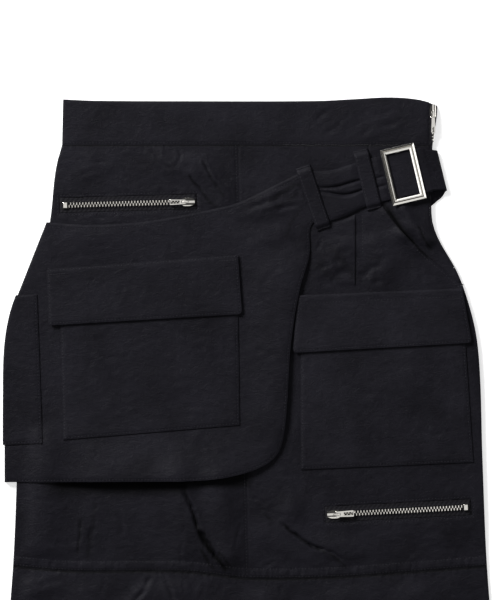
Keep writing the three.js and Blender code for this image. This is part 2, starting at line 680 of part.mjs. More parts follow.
function sidePocket() {
  const p = SIDE_POCKET;
  const sideX = (y) => tableAt(OVERLAY_LEFT, 'y', 'x', y) - PLY;
  const rows = OVERLAY_LEFT.filter((row) => row.y < p.firstRowY && row.y > p.bottomY);
  const left = [p.topLeftY, ...rows.map((row) => row.y), p.leftBottomY].map((y) => corner(sideX(y), y));
  const outline = [...left, corner(p.bottomX, p.bottomY), corner(p.topX, p.topY)];
  const shifted = (inset) => left.map((q) => corner(q.x + inset, q.y));
  const wall = pulledIn([...shifted(TURN_INSET), ...shifted(CLOTH).reverse()], left.length);
  return panel(outline, onto(overlayUnder, 1))
    .add(turnedEdge(wall, () => 0, (x, y) => midFront(x, y) + 2 * PLY));
}

function cargoPocket() {
  return panel(corners(CARGO_POCKET), onto(frontUnder, 1));
}

function cargoFlap() {
  const outline = roundCorners(corners(CARGO_FLAP), FLAP_CORNER, [2, 3]);
  return panel(outline, flapLift(CARGO_FLAP, onto(frontUnder, 2)));
}

// Belt

// The level in the middle of cloth that lies next to the overlay
const midOverlayZ = prop(OVERLAY_TOP_Y) + 2 * PLY + CLOTH / 2;
const beltLift = (across) => tableAt(BELT_TUCKS, 'across', 'lift', across);

// How far the tucks are pressed down along the belt: by each loop, and under the buckle
function tuckShare(along) {
  const press = TUCK_PRESS;
  const clear = rise(...press.inner, along) * rise(...press.outer, Math.abs(along - press.outerAt));
  return THREE.MathUtils.lerp(press.left, 1, clear) * (1 - rise(...press.buckle, along));
}

function beltFront() {
  const curveOf = (x, y) => new THREE.SplineCurve(BELT.map((row) => corner(row[x], row[y])));
  const [top, bottom] = [curveOf('topX', 'topY'), curveOf('bottomX', 'bottomY')];
  const sections = steps(0, 1, BELT_STEPS.along).map((along) => {
    const [a, b] = [top.getPoint(along), bottom.getPoint(along)];
    return steps(0, 1, BELT_STEPS.across).map((across) => {
      const p = a.clone().lerp(b, across);
      return new THREE.Vector3(p.x, p.y, midOverlayZ + beltLift(across) * tuckShare(along));
    });
  });
  return strip(sections, CLOTH);
}

function beltTail() {
  const sections = TAIL.map((row) => steps(0, 1, 3).map((across) => new THREE.Vector3(
    THREE.MathUtils.lerp(row.topX, row.bottomX, across),
    THREE.MathUtils.lerp(row.topY, row.bottomY, across),
    row.z,
  )));
  return strip(sections, CLOTH);
}

function beltLoop(row) {
  const [top, bottom] = [corner(row.topX, row.topY), corner(row.bottomX, row.bottomY)];
  const length = top.distanceTo(bottom);
  const along = bottom.clone().sub(top).normalize();
  const across = corner(-along.y, along.x).multiplyScalar(LOOP.width / 2);
  const highZ = midOverlayZ + PLY + LOOP.stand;
  const ends = [0, LOOP.sewnEnd, LOOP.sewnEnd + LOOP.ramp / 3, LOOP.sewnEnd + (2 * LOOP.ramp) / 3];
  const [first, last] = [LOOP.sewnEnd + LOOP.ramp, length - LOOP.sewnEnd - LOOP.ramp];
  const stations = [...ends, ...steps(first, last, LOOP.steps), ...ends.map((d) => length - d).reverse()];
  const sections = stations.map((s) => {
    const clear = Math.min(s, length - s);
    const z = THREE.MathUtils.lerp(midOverlayZ, highZ, rise(LOOP.sewnEnd, LOOP.sewnEnd + LOOP.ramp, clear));
    const p = top.clone().addScaledVector(along, s);
    return [1, -1].map((side) => new THREE.Vector3(p.x + side * across.x, p.y + side * across.y, z));
  });
  return strip(sections, CLOTH);
}

// Buckle

function buckleFrame() {
  const b = BUCKLE;
  const rim = prism(rectangle(b.width, b.height), 0, b.rimHigh)
    .subtract(prism(rectangle(b.innerWidth, b.innerHeight), -1, b.rimLow + b.slopeOver))
    .subtract(funnel(b));
  const low = b.barZ - b.z;
  const bar = prism(rectangle(b.bar * 2, b.height - b.barShort), low, low + b.bar);
  const post = b.bar * 2 - b.slopeOver;
  const posts = [-1, 1].map((side) => prism(
    rectangle(post, post).map((p) => p.add(corner(0, (side * (b.height - b.bar * 2 - b.barShort)) / 2))),
    low + b.bar / 2, b.rimLow / 2,
  ));
  return rim.add(bar).add(posts[0]).add(posts[1]);
}

// The funnel that the buckle's inner faces slope along, a little longer than the slope at both ends
function funnel(b) {
  const wide = 2 * b.outerRim;
  const level = (z) => {
    const share = (z - b.rimLow) / (b.rimHigh - b.rimLow);
    return rectangle(
      THREE.MathUtils.lerp(b.innerWidth, b.width - wide, share),
      THREE.MathUtils.lerp(b.innerHeight, b.height - wide, share),
    ).map((p) => new THREE.Vector3(p.x, p.y, z));
  };
  const rowsOf = ([p, q, r, t]) => [[p, q], [t, r]];
  return solidOf(skin(rowsOf(level(b.rimHigh + b.slopeOver)), rowsOf(level(b.rimLow - b.slopeOver))));
}

// Zips. Each is built along +X from its slider, with z 0 on the tape, and then put in place

const zipBox = (length, width, height, x, z) => solidOf(
  new THREE.BoxGeometry(length, width, height).translate(x, 0, z),
);

function sliderSolid(width) {
  const [front, back, half] = [-ZIP.sliderAhead, ZIP.sliderLength - ZIP.sliderAhead, width / 2];
  const [nose, heel] = [half * ZIP.sliderNose, half * ZIP.sliderHeel];
  const [flareX, heelX] = [front + ZIP.sliderFlare, back - ZIP.sliderBack];
  const outline = roundCorners([
    corner(front, -nose), corner(flareX, -half), corner(heelX, -half), corner(back, -heel),
    corner(back, heel), corner(heelX, half), corner(flareX, half), corner(front, nose),
  ], ZIP.sliderRound, [0, 1, 2, 5, 6, 7]);
  const top = ZIP.sliderHeight;
  const high = top + ZIP.bridgeInner + ZIP.bridgeWall;
  const low = top - ZIP.bridgeSunk;
  const bridge = zipBox(ZIP.bridgeHalf * 2, ZIP.bridgeWidth, high - low, 0, (high + low) / 2);
  const opening = zipBox(
    (ZIP.bridgeHalf - ZIP.bridgeEnd) * 2, ZIP.bridgeWidth * 2, ZIP.bridgeInner, 0, top + ZIP.bridgeInner / 2,
  );
  return prism(outline, GAP, top).add(bridge).subtract(opening);
}

function pullSolid([length, width]) {
  const half = width / 2;
  const narrow = half - ZIP.pullTaper;
  const plate = roundCorners([
    corner(0, -narrow), corner(length, -half), corner(length, half), corner(0, narrow),
  ], ZIP.pullRound, [1, 2]);
  const eye = zipBox(ZIP.eyeReach + 1, ZIP.eyeHalf * 2, ZIP.pullThick * 2, (ZIP.eyeReach - 1) / 2, 0);
  const holeX = length - ZIP.holeEnd - ZIP.holeLength / 2;
  const hole = zipBox(ZIP.holeLength, width - 2 * ZIP.holeRim, ZIP.pullThick * 2, holeX, 0);
  const axle = new THREE.CylinderGeometry(ZIP.axleR, ZIP.axleR, width - ZIP.axleShort, 8);
  return prism(plate, -ZIP.pullThick / 2, ZIP.pullThick / 2).subtract(eye).subtract(hole).add(solidOf(axle));
}

// One zip with its pull tab on a hinge of its own. The tab lies back along the chain
function zipAt(name, zip, z) {
  const place = new THREE.Group();
  place.position.set(zip.x, zip.y, z);
  place.rotation.set(0, -THREE.MathUtils.degToRad(zip.climb), THREE.MathUtils.degToRad(zip.turn), 'ZYX');
  const chainX = ZIP.sliderLength - ZIP.sliderAhead + GAP;
  const chain = zipBox(
    zip.chain, zip.chainWidth, ZIP.chainHeight, chainX + zip.chain / 2, GAP + ZIP.chainHeight / 2,
  );
  sew(place, `${name}_zip_chain`, chain, metal);
  sew(place, `${name}_zip_slider`, sliderSolid(zip.sliderWidth), metal);
  const hinge = new THREE.Group();
  hinge.position.z = ZIP.sliderHeight + ZIP.axleLift;
  hinge.rotation.y = THREE.MathUtils.degToRad(ZIP.pullTilt);
  sew(hinge, `${name}_zip_pull`, pullSolid(zip.pull), metal);
  place.add(hinge);
  if (zip.window) {
    const [length, width] = zip.window;
    const clear = 2 * ZIP.windowClear;
    const stopX = chainX + zip.chain + GAP + ZIP.stopLength / 2;
    const tapeX = length / 2 - ZIP.sliderAhead - ZIP.windowEnd;
    const tape = zipBox(length - clear, width - clear, ZIP.tapeThick, tapeX, -ZIP.tapeThick / 2);
    const stop = zipBox(ZIP.stopLength, ZIP.stopWidth, ZIP.stopHeight, stopX, GAP + ZIP.stopHeight / 2);
    sew(place, `${name}_zip_tape`, tape, tapeCloth);
    sew(place, `${name}_zip_stop`, stop, metal);
  }
  return place;
}

function sideZipTape() {
  const z = SIDE_ZIP;
  const innerX = z.frontX + GAP;
  const tongueY = hipTopY - z.tongue;
  const flat = [
    corner(innerX, bandBottomY), corner(sideAt('right', hipTopY) - z.edge, bandBottomY),
    corner(sideAt('right', tongueY) - z.edge, tongueY),
    ...sideEdge('right', tongueY, WAIST_RIGHT_Y - z.edge, 0),
    corner(innerX, waistTopAt(z.frontX) - z.tapeTop),
  ];
  const wall = wallOutline('right', hipTopY, z.endY + GAP, CLOTH - GAP / 2);
  return panel(flat, (x, y) => prop(y) + PLY, ZIP.tapeThick)
    .add(turnedEdge(wall, backUnder, midFront));
}

// Materials and the finished skirt

const cloth = new THREE.MeshStandardMaterial({ color: 0x212025, roughness: 0.78, metalness: 0 });
const tapeCloth = new THREE.MeshStandardMaterial({ color: 0x16151a, roughness: 0.9, metalness: 0 });
const metal = new THREE.MeshStandardMaterial({ color: 0xd8d4cc, roughness: 0.22, metalness: 1 });

const skirt = new THREE.Group();

// Adds one piece to a group under its node name
function sew(group, name, solid, material) {
  const mesh = new THREE.Mesh(geometryOf(solid), material);
  mesh.name = name;
  group.add(mesh);
}

sew(skirt, 'waistband_front', waistbandFront(), cloth);
sew(skirt, 'waistband_back', waistbandBack(), cloth);
sew(skirt, 'hip_front_left', frontLeft(), cloth);
sew(skirt, 'hip_front_right', frontRight(), cloth);
sew(skirt, 'hip_pocket_bearer', hipBearer(), cloth);
sew(skirt, 'hip_back', hipBack(), cloth);
sew(skirt, 'tier_front', tierFront(), cloth);
sew(skirt, 'tier_back', tierBack(), cloth);
sew(skirt, 'overlay', overlay(), cloth);
sew(skirt, 'overlay_pocket', frontPocket(), cloth);
sew(skirt, 'overlay_flap', frontFlap(), cloth);
sew(skirt, 'overlay_side_pocket', sidePocket(), cloth);
sew(skirt, 'cargo_pocket', cargoPocket(), cloth);
sew(skirt, 'cargo_flap', cargoFlap(), cloth);
sew(skirt, 'belt_front', beltFront(), cloth);
sew(skirt, 'belt_tail', beltTail(), cloth);
LOOPS.forEach((row) => sew(skirt, row.name, beltLoop(row), cloth));

const buckle = new THREE.Group();
buckle.position.set(BUCKLE.x, BUCKLE.y, BUCKLE.z);
buckle.rotation.z = THREE.MathUtils.degToRad(BUCKLE.turn);
sew(buckle, 'buckle_frame', buckleFrame(), metal);
skirt.add(buckle);

const frontTopZ = PLY + CLOTH;
skirt.add(zipAt('upper', UPPER_ZIP, prop(UPPER_ZIP.y) + frontTopZ - ZIP.tapeBelow));
skirt.add(zipAt('lower', LOWER_ZIP, prop(LOWER_ZIP.y) + frontTopZ - ZIP.tapeBelow));
skirt.add(zipAt('side', SIDE_ZIP, prop(SIDE_ZIP.y) + PLY + ZIP.tapeThick));
sew(skirt, 'side_zip_tape', sideZipTape(), tapeCloth);

export default skirt;
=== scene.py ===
"""Finishes a black cargo utility skirt that lies flat on its back, seen from straight above.

Sizes are in millimetres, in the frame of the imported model, and turn to metres where a mesh is made.
"""
import logging
import math
from dataclasses import dataclass
from enum import Enum
from typing import Callable, Sequence

import bmesh
import bpy
import numpy as np
from mathutils import Matrix, Vector, noise


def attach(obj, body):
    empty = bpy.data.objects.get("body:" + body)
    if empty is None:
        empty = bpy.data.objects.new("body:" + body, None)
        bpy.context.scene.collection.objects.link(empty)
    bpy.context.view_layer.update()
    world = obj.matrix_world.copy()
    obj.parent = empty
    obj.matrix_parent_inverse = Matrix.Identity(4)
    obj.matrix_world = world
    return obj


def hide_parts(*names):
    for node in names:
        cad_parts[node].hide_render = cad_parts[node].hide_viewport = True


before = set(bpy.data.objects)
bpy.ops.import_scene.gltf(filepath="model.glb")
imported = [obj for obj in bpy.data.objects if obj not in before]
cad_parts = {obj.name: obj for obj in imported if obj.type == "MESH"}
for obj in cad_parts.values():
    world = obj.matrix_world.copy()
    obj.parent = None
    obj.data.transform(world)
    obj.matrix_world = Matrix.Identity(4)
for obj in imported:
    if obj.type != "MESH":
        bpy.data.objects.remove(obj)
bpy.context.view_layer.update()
log = logging.getLogger("skirt")

Array = np.ndarray
Point = tuple[float, float]
Height = Callable[[Array, Array], Array]

MM = 0.001
# Points closer than this, in metres, count as one
TOUCHING = 1e-7
# In millimetres: a solid sheet, the gap between two, both together, and the cloth as it shows
CLOTH = 1.2
GAP = 0.3
PLY = CLOTH + GAP
SHOWN_CLOTH = 0.8

WAIST_SEAM_Y = 332.2
TIER_SEAM_Y = -52.0
HEM_Y = -375.0
OVERLAY_TOP_Y = 262.6
OVERLAY_BOTTOM_Y = 29.0
HAND_POCKET_END_Y = 206.0

# The edge of the laid skirt on each side: height up the skirt, left edge, right edge
SIDES = (
    (376, -167.6, 168.4), (360, -168, 168.2), (333, -168.8, 164.2), (318, -173, 163.6),
    (300, -176, 163), (278, -178, 163), (262, -180, 164.2), (246, -183, 170.2),
    (218, -188.5, 186.2), (190, -196.2, 196.4), (160, -203.4, 203.6), (121, -207, 207),
    (50, -209, 209), (-52, -213.5, 213.5), (-210, -227, 227), (-376, -240, 240),
)
WAIST_TOP = (
    (-168.4, 373.2), (-140, 372), (-60, 371.6), (60, 371.8), (100, 373.8),
    (122, 375), (142, 374.2), (158, 371.6), (168.8, 367.4),
)
TIER_SEAM = (
    (-214, -46.5), (-160, -51), (-60, -51.4), (0, -57.5), (75, -56.6), (137, -52.4), (214, -46.4),
)
CENTRE_TOP_X = -10.8
CENTRE_BOTTOM_X = -0.9
HAND_POCKET = (
    (106, 332.05), (112, 300), (121.5, 276.5), (136.8, 255.8), (157.5, 234.2), (173.7, 219.8), (188.9, 206),
)
OVERLAY_LEFT = (
    (-182.8, 262.6), (-202.6, 212.6), (-214, 182), (-219.4, 150), (-220.5, 104), (-220.5, 29),
)
OVERLAY_TOP = (
    (-182.8, 262.6), (-140, 260.4), (-90, 264), (-31, 275), (-8, 281.4), (22, 296), (45, 307.4),
)
OVERLAY_FREE = (
    (62.4, 264.6), (56.6, 262), (53.4, 254), (53, 232), (44, 200), (36.5, 152), (33.6, 104),
)
OVERLAY_ROUND = (
    (33.6, 104), (31.6, 82), (29.4, 67), (25.6, 56.2),
    (17.6, 47.2), (3, 39.8), (-18, 34), (-39, 31.2), (-60, 30),
)
OVERLAY_BACK_X = -86.0
OVERLAY_BACK_TOP_Y = 262.0

FRONT_POCKET = ((-171.5, 216), (-11.6, 228), (-9.4, 80.6), (-167.8, 67.4))
FRONT_FLAP = ((-182.4, 220.4), (-11, 233.6), (-7.2, 180.2), (-181, 170))
CARGO_POCKET = ((45.4, 192), (190.5, 198), (200.5, 47.2), (45.4, 40.4))
CARGO_FLAP = ((43, 197), (190.5, 203.4), (199.2, 154.4), (38.4, 145.4))
FLAP_CORNER = 4.0
FLAP_LIFT = 1.2
SIDE_POCKET_LEFT_Y = (197.0, 62.6)
SIDE_POCKET_RIGHT = ((-191.5, 198), (-186.5, 64.4))

REST_TOP_Y = 372.0
FLAT_TOP_Y = 333.0
FLAT_BOTTOM_Y = 10.0
REST_BOTTOM_Y = -46.0


@dataclass(frozen=True)
class Ridge:
    """A soft ridge in a layer, from one end to the other."""

    x1: float
    y1: float
    x2: float
    y2: float
    height: float
    width: float


HIP_FOLDS = (
    Ridge(-184, 60, -188, -40, 3.6, 17),
    Ridge(-66, 35, -50, -40, 2.2, 13),
    Ridge(-30, 30, -18, -42, 4.2, 15),
    Ridge(38, 4, 92, -36, 2.2, 11),
    Ridge(14, -18, 60, -44, 1.6, 11),
    Ridge(-76, 322, -46, 284, 1.6, 13),
    Ridge(-50, 320, -26, 290, 1.5, 11),
    Ridge(82, 240, 70, 222, 1.5, 11),
    Ridge(112, 244, 124, 224, 2, 13),
    Ridge(128, 110, 120, 84, 1.2, 34),
)
POCKET_LIFT = (
    Ridge(128, 266, 136.8, 255.8, 2.6, 10),
    Ridge(136.8, 255.8, 173.7, 219.8, 1.8, 10),
)
TIER_FOLDS = (
    Ridge(-196, -66, -214, -180, 2.6, 17),
    Ridge(-150, -70, -156, -150, 1.6, 15),
    Ridge(-88, -64, -112, -150, 2.6, 14),
    Ridge(-66, -64, -58, -210, 2.8, 15),
    Ridge(10, -72, 4, -170, 1.8, 16),
    Ridge(84, -72, 92, -240, 2.4, 17),
    Ridge(150, -70, 168, -200, 2.2, 17),
    Ridge(-120, -230, -132, -352, 2.6, 20),
    Ridge(-20, -240, -14, -356, 2.4, 19),
    Ridge(170, -250, 180, -350, 2.2, 19),
)
OVERLAY_FOLDS = (
    Ridge(36, 214, 28, 90, 3.4, 26),
    Ridge(-140, 30, -10, 34, 4.0, 38),
    Ridge(-130, 31, -66, 31, 2.6, 20),
    Ridge(6, 272, 36, 286, 1.5, 10),
    Ridge(14, 248, 42, 262, 1.4, 11),
    Ridge(-150, 252, -120, 250, 1.2, 14),
)
# Stretches that stay smooth under a flat piece: ends, and how far they reach
CALM = ((60, 290, 176, 308, 38), (-172, 278, -46, 281, 13), (66, 0, 200, 6, 13))
CALM_FADE = 16.0


@dataclass(frozen=True)
class Crease:
    """A crease along a line: a soft swell, and a narrower furrow in its middle."""

    path: tuple[Point, ...]
    swell: float
    reach: float
    furrow: float
    width: float


HIP_CREASES = (
    Crease(((-54, 304), (-44, 291), (-31.5, 275.6)), 1.0, 5, 2.4, 1.15),
    Crease(((-42, 318), (-34, 300), (-20.7, 281.8)), 0.8, 5, 1.5, 1.2),
    Crease(((-36, 312), (-22, 296), (-14, 284)), 0.7, 6, 0.8, 1.8),
    Crease(((-89, 328), (-78, 315), (-66, 304)), 0.7, 8, 0.8, 2.2),
    Crease(((-112, 310), (-96, 300)), 0.6, 9, 0.5, 2.4),
    Crease(((-150, 320), (-128, 316), (-118, 319)), 0.7, 7, 0.4, 2.4),
    Crease(((-157, 302), (-146, 308), (-134, 309)), 0.8, 7, 0.5, 2.4),
    Crease(((-64, 331), (-62, 322), (-67, 312)), 0.3, 4, 0.7, 1.3),
    Crease(((-96, 331), (-95, 324)), 0.2, 3, 0.6, 1.2),
    Crease(((-84, 331), (-80, 322)), 0.2, 3, 0.5, 1.2),
    Crease(((-120, 267.5), (-132, 266.5), (-141, 268)), 0.6, 6, 0.9, 3.0),
    Crease(((-60, 22), (-50, -2), (-42, -24), (-30, -40), (-20, -50)), 1.4, 8, 3.6, 1.7),
    Crease(((-46, -12), (-36, -30), (-24, -47)), 0.7, 5, 2.6, 1.3),
    Crease(((-28, -34), (-16, -48)), 0.5, 5, 1.0, 1.4),
    Crease(((-153, -4), (-152.6, -20), (-155, -34)), 0.6, 7, 0.9, 1.2),
    Crease(((-139, 10), (-141, -12), (-146, -38)), 0.8, 9, 0.6, 3.0),
    Crease(((-116, 8), (-116, -22)), 0.4, 6, 0.6, 2.4),
    Crease(((-190, -18), (-180, -26), (-166, -28)), 0.6, 8, 0.5, 3.0),
    Crease(((-60, -6), (-62, -44)), 0.3, 5, 0.6, 1.6),
    Crease(((28, -8), (44, -20), (58, -29), (76, -34), (86, -46)), 1.3, 6, 2.6, 1.3),
    Crease(((2, 15), (14, 9)), 0.5, 5, 0.9, 1.5),
    Crease(((22, -42), (12, -48)), 0.4, 4, 0.9, 1.4),
    Crease(((-8, -8), (-14, -34)), 0.3, 5, 0.5, 1.5),
    Crease(((40, -46), (36, -56)), 0.2, 4, 0.6, 1.3),
    Crease(((118, -12), (134, -22), (140, -36)), 0.7, 9, 0.5, 3.0),
    Crease(((160, -14), (176, -20), (190, -18)), 0.8, 9, 0.5, 3.0),
    Crease(((100, -26), (112, -30), (128, -28)), 0.5, 8, 0.4, 3.0),
    Crease(((60, 222), (80, 228), (88, 240)), 0.4, 8, 1.4, 4.0),
    Crease(((62, 208), (76, 216), (90, 218)), 0.3, 7, 1.2, 4.0),
    Crease(((70, 256), (80, 250), (88, 252)), 0.5, 6, 0.7, 2.4),
    Crease(((98, 214), (112, 222), (124, 232)), 0.4, 8, 1.1, 3.6),
    Crease(((108, 208), (122, 212)), 0.6, 7, 0.7, 2.6),
    Crease(((56, 236), (64, 246)), 0.4, 5, 0.5, 2.0),
)
BEARER_CREASES = (
    Crease(((151, 259), (156, 248), (163, 237)), 0.9, 4.5, 1.4, 1.2),
    Crease(((139, 262), (148, 251), (156, 243)), 1.5, 3.2, 0.0, 1.5),
    Crease(((128, 276), (140, 262), (146, 250)), 0.8, 6, 0.5, 2.6),
    Crease(((158, 262), (164, 248)), 0.4, 5, 0.5, 2.0),
)
OVERLAY_CREASES = (
    Crease(((-12, 272), (8, 278), (30, 285), (46, 287)), 0.8, 5, 1.8, 2.4),
    Crease(((10, 282), (30, 288), (48, 292)), 0.7, 5, 1.1, 1.8),
    Crease(((8, 269.5), (24, 273.5), (44, 280)), 0.8, 5, 1.4, 1.3),
    Crease(((16, 300), (28, 302), (42, 306)), 0.5, 4, 0.8, 1.8),
    Crease(((-70, 250), (-72, 238), (-74, 230)), 0.3, 5, 0.6, 1.3),
    Crease(((-146, 250), (-130, 246)), 0.5, 7, 0.4, 2.6),
    Crease(((-100, 256), (-84, 250), (-80, 244)), 0.5, 7, 0.4, 2.6),
    Crease(((-8, 248), (10, 244), (22, 236)), 0.6, 8, 0.4, 3.0),
    Crease(((26, 224), (12, 208), (14, 196)), 0.6, 8, 0.5, 3.0),
    Crease(((0, 204), (20, 203)), 0.4, 5, 0.5, 1.8),
    Crease(((2, 150), (18, 144), (28, 146)), 0.5, 7, 0.4, 2.6),
    Crease(((4, 120), (20, 112)), 0.5, 7, 0.4, 2.6),
    Crease(((-186, 240), (-172, 232)), 0.5, 7, 0.4, 2.8),
    Crease(((-150, 56), (-120, 50), (-100, 54)), 0.6, 8, 0.4, 3.0),
    Crease(((-70, 58), (-40, 50), (-20, 56)), 0.6, 8, 0.4, 3.0),
    Crease(((14, 52), (24, 62), (28, 74)), 0.8, 7, 0.6, 2.6),
    Crease(((-190, 46), (-176, 40)), 0.6, 7, 0.4, 2.6),
)
POCKET_CREASES = (
    Crease(((-150, 150), (-128, 140), (-110, 142)), 0.5, 8, 0.4, 3.0),
    Crease(((-92, 128), (-70, 118), (-52, 122)), 0.5, 8, 0.4, 3.0),
    Crease(((-130, 100), (-112, 92)), 0.5, 7, 0.4, 2.6),
    Crease(((-48, 152), (-30, 146)), 0.5, 7, 0.4, 2.6),
    Crease(((-60, 98), (-36, 96)), 0.4, 7, 0.4, 2.6),
)
FLAP_CREASES = (
    Crease(((-112, 208), (-118, 194), (-124, 188)), 0.3, 6, 0.4, 1.6),
    Crease(((-96, 206), (-100, 192)), 0.2, 5, 0.5, 1.2),
    Crease(((-150, 200), (-140, 192)), 0.3, 7, 0.3, 2.6),
    Crease(((-60, 196), (-44, 192)), 0.3, 7, 0.3, 2.6),
)
CARGO_CREASES = (
    Crease(((84, 118), (104, 108), (124, 110)), 0.5, 8, 0.5, 3.0),
    Crease(((140, 128), (158, 118)), 0.5, 8, 0.4, 3.0),
    Crease(((64, 82), (84, 74), (98, 78)), 0.5, 8, 0.4, 3.0),
    Crease(((146, 78), (166, 70), (182, 74)), 0.5, 8, 0.5, 3.0),
    Crease(((60, 134), (72, 126)), 0.4, 6, 0.4, 2.4),
)
CARGO_FLAP_CREASES = (
    Crease(((72, 176), (92, 168), (106, 172)), 0.3, 7, 0.3, 2.6),
    Crease(((126, 184), (142, 176)), 0.3, 7, 0.3, 2.6),
    Crease(((158, 170), (178, 168)), 0.3, 6, 0.3, 2.4),
)
TIER_CREASES = (
    Crease(((-88, -56), (-96, -68), (-106, -82), (-112, -104)), 1.2, 7, 2.2, 1.8),
    Crease(((-77, -60), (-70, -72), (-66, -88)), 1.0, 6, 1.6, 1.6),
    Crease(((-160, -54), (-180, -62), (-204, -66)), 1.0, 9, 0.8, 3.0),
    Crease(((-60, -58), (-58, -72)), 0.3, 5, 0.6, 1.6),
    Crease(((-40, -58), (-44, -76), (-42, -96)), 0.5, 6, 0.6, 2.0),
    Crease(((-130, -58), (-134, -72)), 0.4, 5, 0.5, 1.6),
    Crease(((30, -62), (24, -84), (26, -120)), 0.7, 8, 0.6, 2.6),
    Crease(((110, -60), (116, -86), (112, -130)), 0.7, 8, 0.6, 2.6),
    Crease(((184, -56), (180, -76)), 0.5, 7, 0.5, 2.4),
    Crease(((-176, -150), (-150, -190), (-160, -240)), 1.0, 12, 0.6, 4.0),
    Crease(((-30, -130), (-20, -170), (-34, -230)), 1.0, 12, 0.6, 4.0),
    Crease(((60, -150), (48, -200), (60, -270)), 1.0, 12, 0.7, 4.0),
    Crease(((128, -190), (140, -240), (132, -300)), 1.0, 12, 0.7, 4.0),
    Crease(((-80, -250), (-66, -290), (-74, -340)), 1.0, 12, 0.6, 4.0),
    Crease(((20, -290), (40, -320), (36, -352)), 0.9, 12, 0.6, 4.0),
    Crease(((-190, -280), (-180, -330)), 0.9, 12, 0.6, 4.0),
)
WAIST_CREASES = (
    Crease(((54, 350), (64, 358), (74, 364)), 0.5, 6, 0.6, 2.2),
    Crease(((64, 338), (78, 350), (92, 362)), 0.6, 6, 0.8, 2.4),
    Crease(((98, 342), (118, 350), (140, 354)), 0.7, 6, 0.9, 2.4),
    Crease(((112, 358), (130, 364), (148, 362)), 0.5, 6, 0.5, 2.6),
    Crease(((104, 336), (126, 341)), 0.5, 5, 0.5, 2.0),
    Crease(((-150, 358), (-124, 352), (-108, 356)), 0.3, 7, 0.3, 2.6),
    Crease(((-90, 362), (-66, 356)), 0.3, 7, 0.3, 2.6),
    Crease(((-40, 352), (-16, 356), (6, 350)), 0.3, 7, 0.3, 2.6),
)


@dataclass(frozen=True)
class PaintedShade:
    """A line of painted shade: along it the cloth's colour is darkened nearly to black and its face made
    matt, as the shade in a fold, seam or pocket mouth.
    """

    path: tuple[Point, ...]
    reach: float
    share: float = 1.0
    even: bool = False


# Lines of painted shade in the hip's creases and folds
HIP_PAINTED_SHADE = (
    PaintedShade(((-59, 24), (-53, 4), (-46, -14)), 0.9, 0.8),
    PaintedShade(((-49, -6), (-43, -22), (-36, -34)), 1.8, 0.95),
    PaintedShade(((-45, -16), (-38, -29), (-30, -39), (-23, -47)), 2.8),
    PaintedShade(((-43, -32), (-38, -41), (-32, -48)), 1.3, 0.75),
    PaintedShade(((-27, -34), (-16, -49)), 1.1, 0.8),
    PaintedShade(((12, 0), (20, -5)), 0.8, 0.6),
    PaintedShade(((31, -10), (44, -20), (57, -29)), 1.1, 0.85),
    PaintedShade(((57, -29), (74, -36), (86, -48)), 1.2, 0.7),
    PaintedShade(((-54, 304), (-44, 291), (-31.5, 275.6)), 0.9, 0.8),
    PaintedShade(((-42, 316), (-34, 300), (-22, 283)), 0.8, 0.6),
    PaintedShade(((-153, -4), (-152.6, -20), (-155, -34)), 1.1, 0.5),
    PaintedShade(((-139, 10), (-141, -12), (-146, -38)), 2.2, 0.35),
    PaintedShade(((76, 236), (86, 222), (96, 214)), 4.5, 0.35),
    PaintedShade(((60, 224), (72, 214), (80, 212)), 4.0, 0.3),
)
# Lines of painted shade in the overlay's creases
OVERLAY_PAINTED_SHADE = (
    PaintedShade(((46, 298), (33, 291), (17, 281)), 1.3, 0.6),
    PaintedShade(((43, 288), (30, 280), (12, 272)), 1.1, 0.45),
    PaintedShade(((46, 276), (38, 264), (33, 250)), 1.2, 0.45),
)
# Lines of painted shade on the bearer, along the hand pocket's mouth and in its creases
BEARER_PAINTED_SHADE = (
    PaintedShade(((111.5, 299), (116, 286), (121, 278), (127, 270)), 1.8, 0.7, True),
    PaintedShade(((124.5, 273), (131, 263.5), (138.3, 253.5), (146.6, 244)), 2.5, 1.0, True),
    PaintedShade(((146.6, 244), (158.5, 231.5), (169, 221.5), (178, 213.5)), 1.5, 0.85, True),
    PaintedShade(((151, 258), (156, 248), (163, 238)), 1.0, 0.8),
    PaintedShade(((142, 284), (150, 281), (156, 283)), 4.0, 0.4),
)
# Lines of painted shade along the hand pocket's lip, standing in for the dark of its gape
MOUTH_PAINTED_SHADE = (
    PaintedShade(((110.5, 299), (119.8, 277), (135.4, 255.8), (146.6, 244)), 1.2, 0.95, True),
    PaintedShade(((146.6, 244), (153, 237), (160, 231)), 1.0, 0.75, True),
)


def rise(low: float, high: float, at: Array) -> Array:
    """Rises smoothly from 0 to 1 between two values.

    Args:
        low: Where the rise starts.
        high: Where it ends.
        at: The places to read.

    Returns:
        The share risen at each place.
    """
    t = np.clip((at - low) / (high - low), 0.0, 1.0)
    return t * t * (3 - 2 * t)


class Profile:
    """A smooth curve through the rows of a table, read at any place between them."""

    def __init__(self, rows: Sequence[Point]) -> None:
        """Sorts the rows and works out the slope at each.

        Args:
            rows: Pairs of a place and the value there.
        """
        self.places, self.values = np.array(sorted(rows), float).T
        rank = np.arange(len(rows))
        low, high = np.maximum(rank - 1, 0), np.minimum(rank + 1, len(rows) - 1)
        self.slopes = (self.values[high] - self.values[low]) / (self.places[high] - self.places[low])

    def __call__(self, where: Array | float) -> Array:
        """Reads the curve.

        Args:
            where: The places to read.

        Returns:
            The value at each place.
        """
        i = np.clip(np.searchsorted(self.places, where, side="right") - 1, 0, len(self.places) - 2)
        span = self.places[i + 1] - self.places[i]
        t = np.clip((where - self.places[i]) / span, 0.0, 1.0)
        start = (1 + 2 * t) * (1 - t) ** 2 * self.values[i] + t * (1 - t) ** 2 * span * self.slopes[i]
        end = t * t * (3 - 2 * t) * self.values[i + 1] - t * t * (1 - t) * span * self.slopes[i + 1]
        return start + end


left_side = Profile([(y, left) for y, left, _ in SIDES])
right_side = Profile([(y, right) for y, _, right in SIDES])
tier_seam = Profile(TIER_SEAM)
waist_top = Profile(WAIST_TOP)
overlay_left = Profile([(y, x) for x, y in OVERLAY_LEFT])


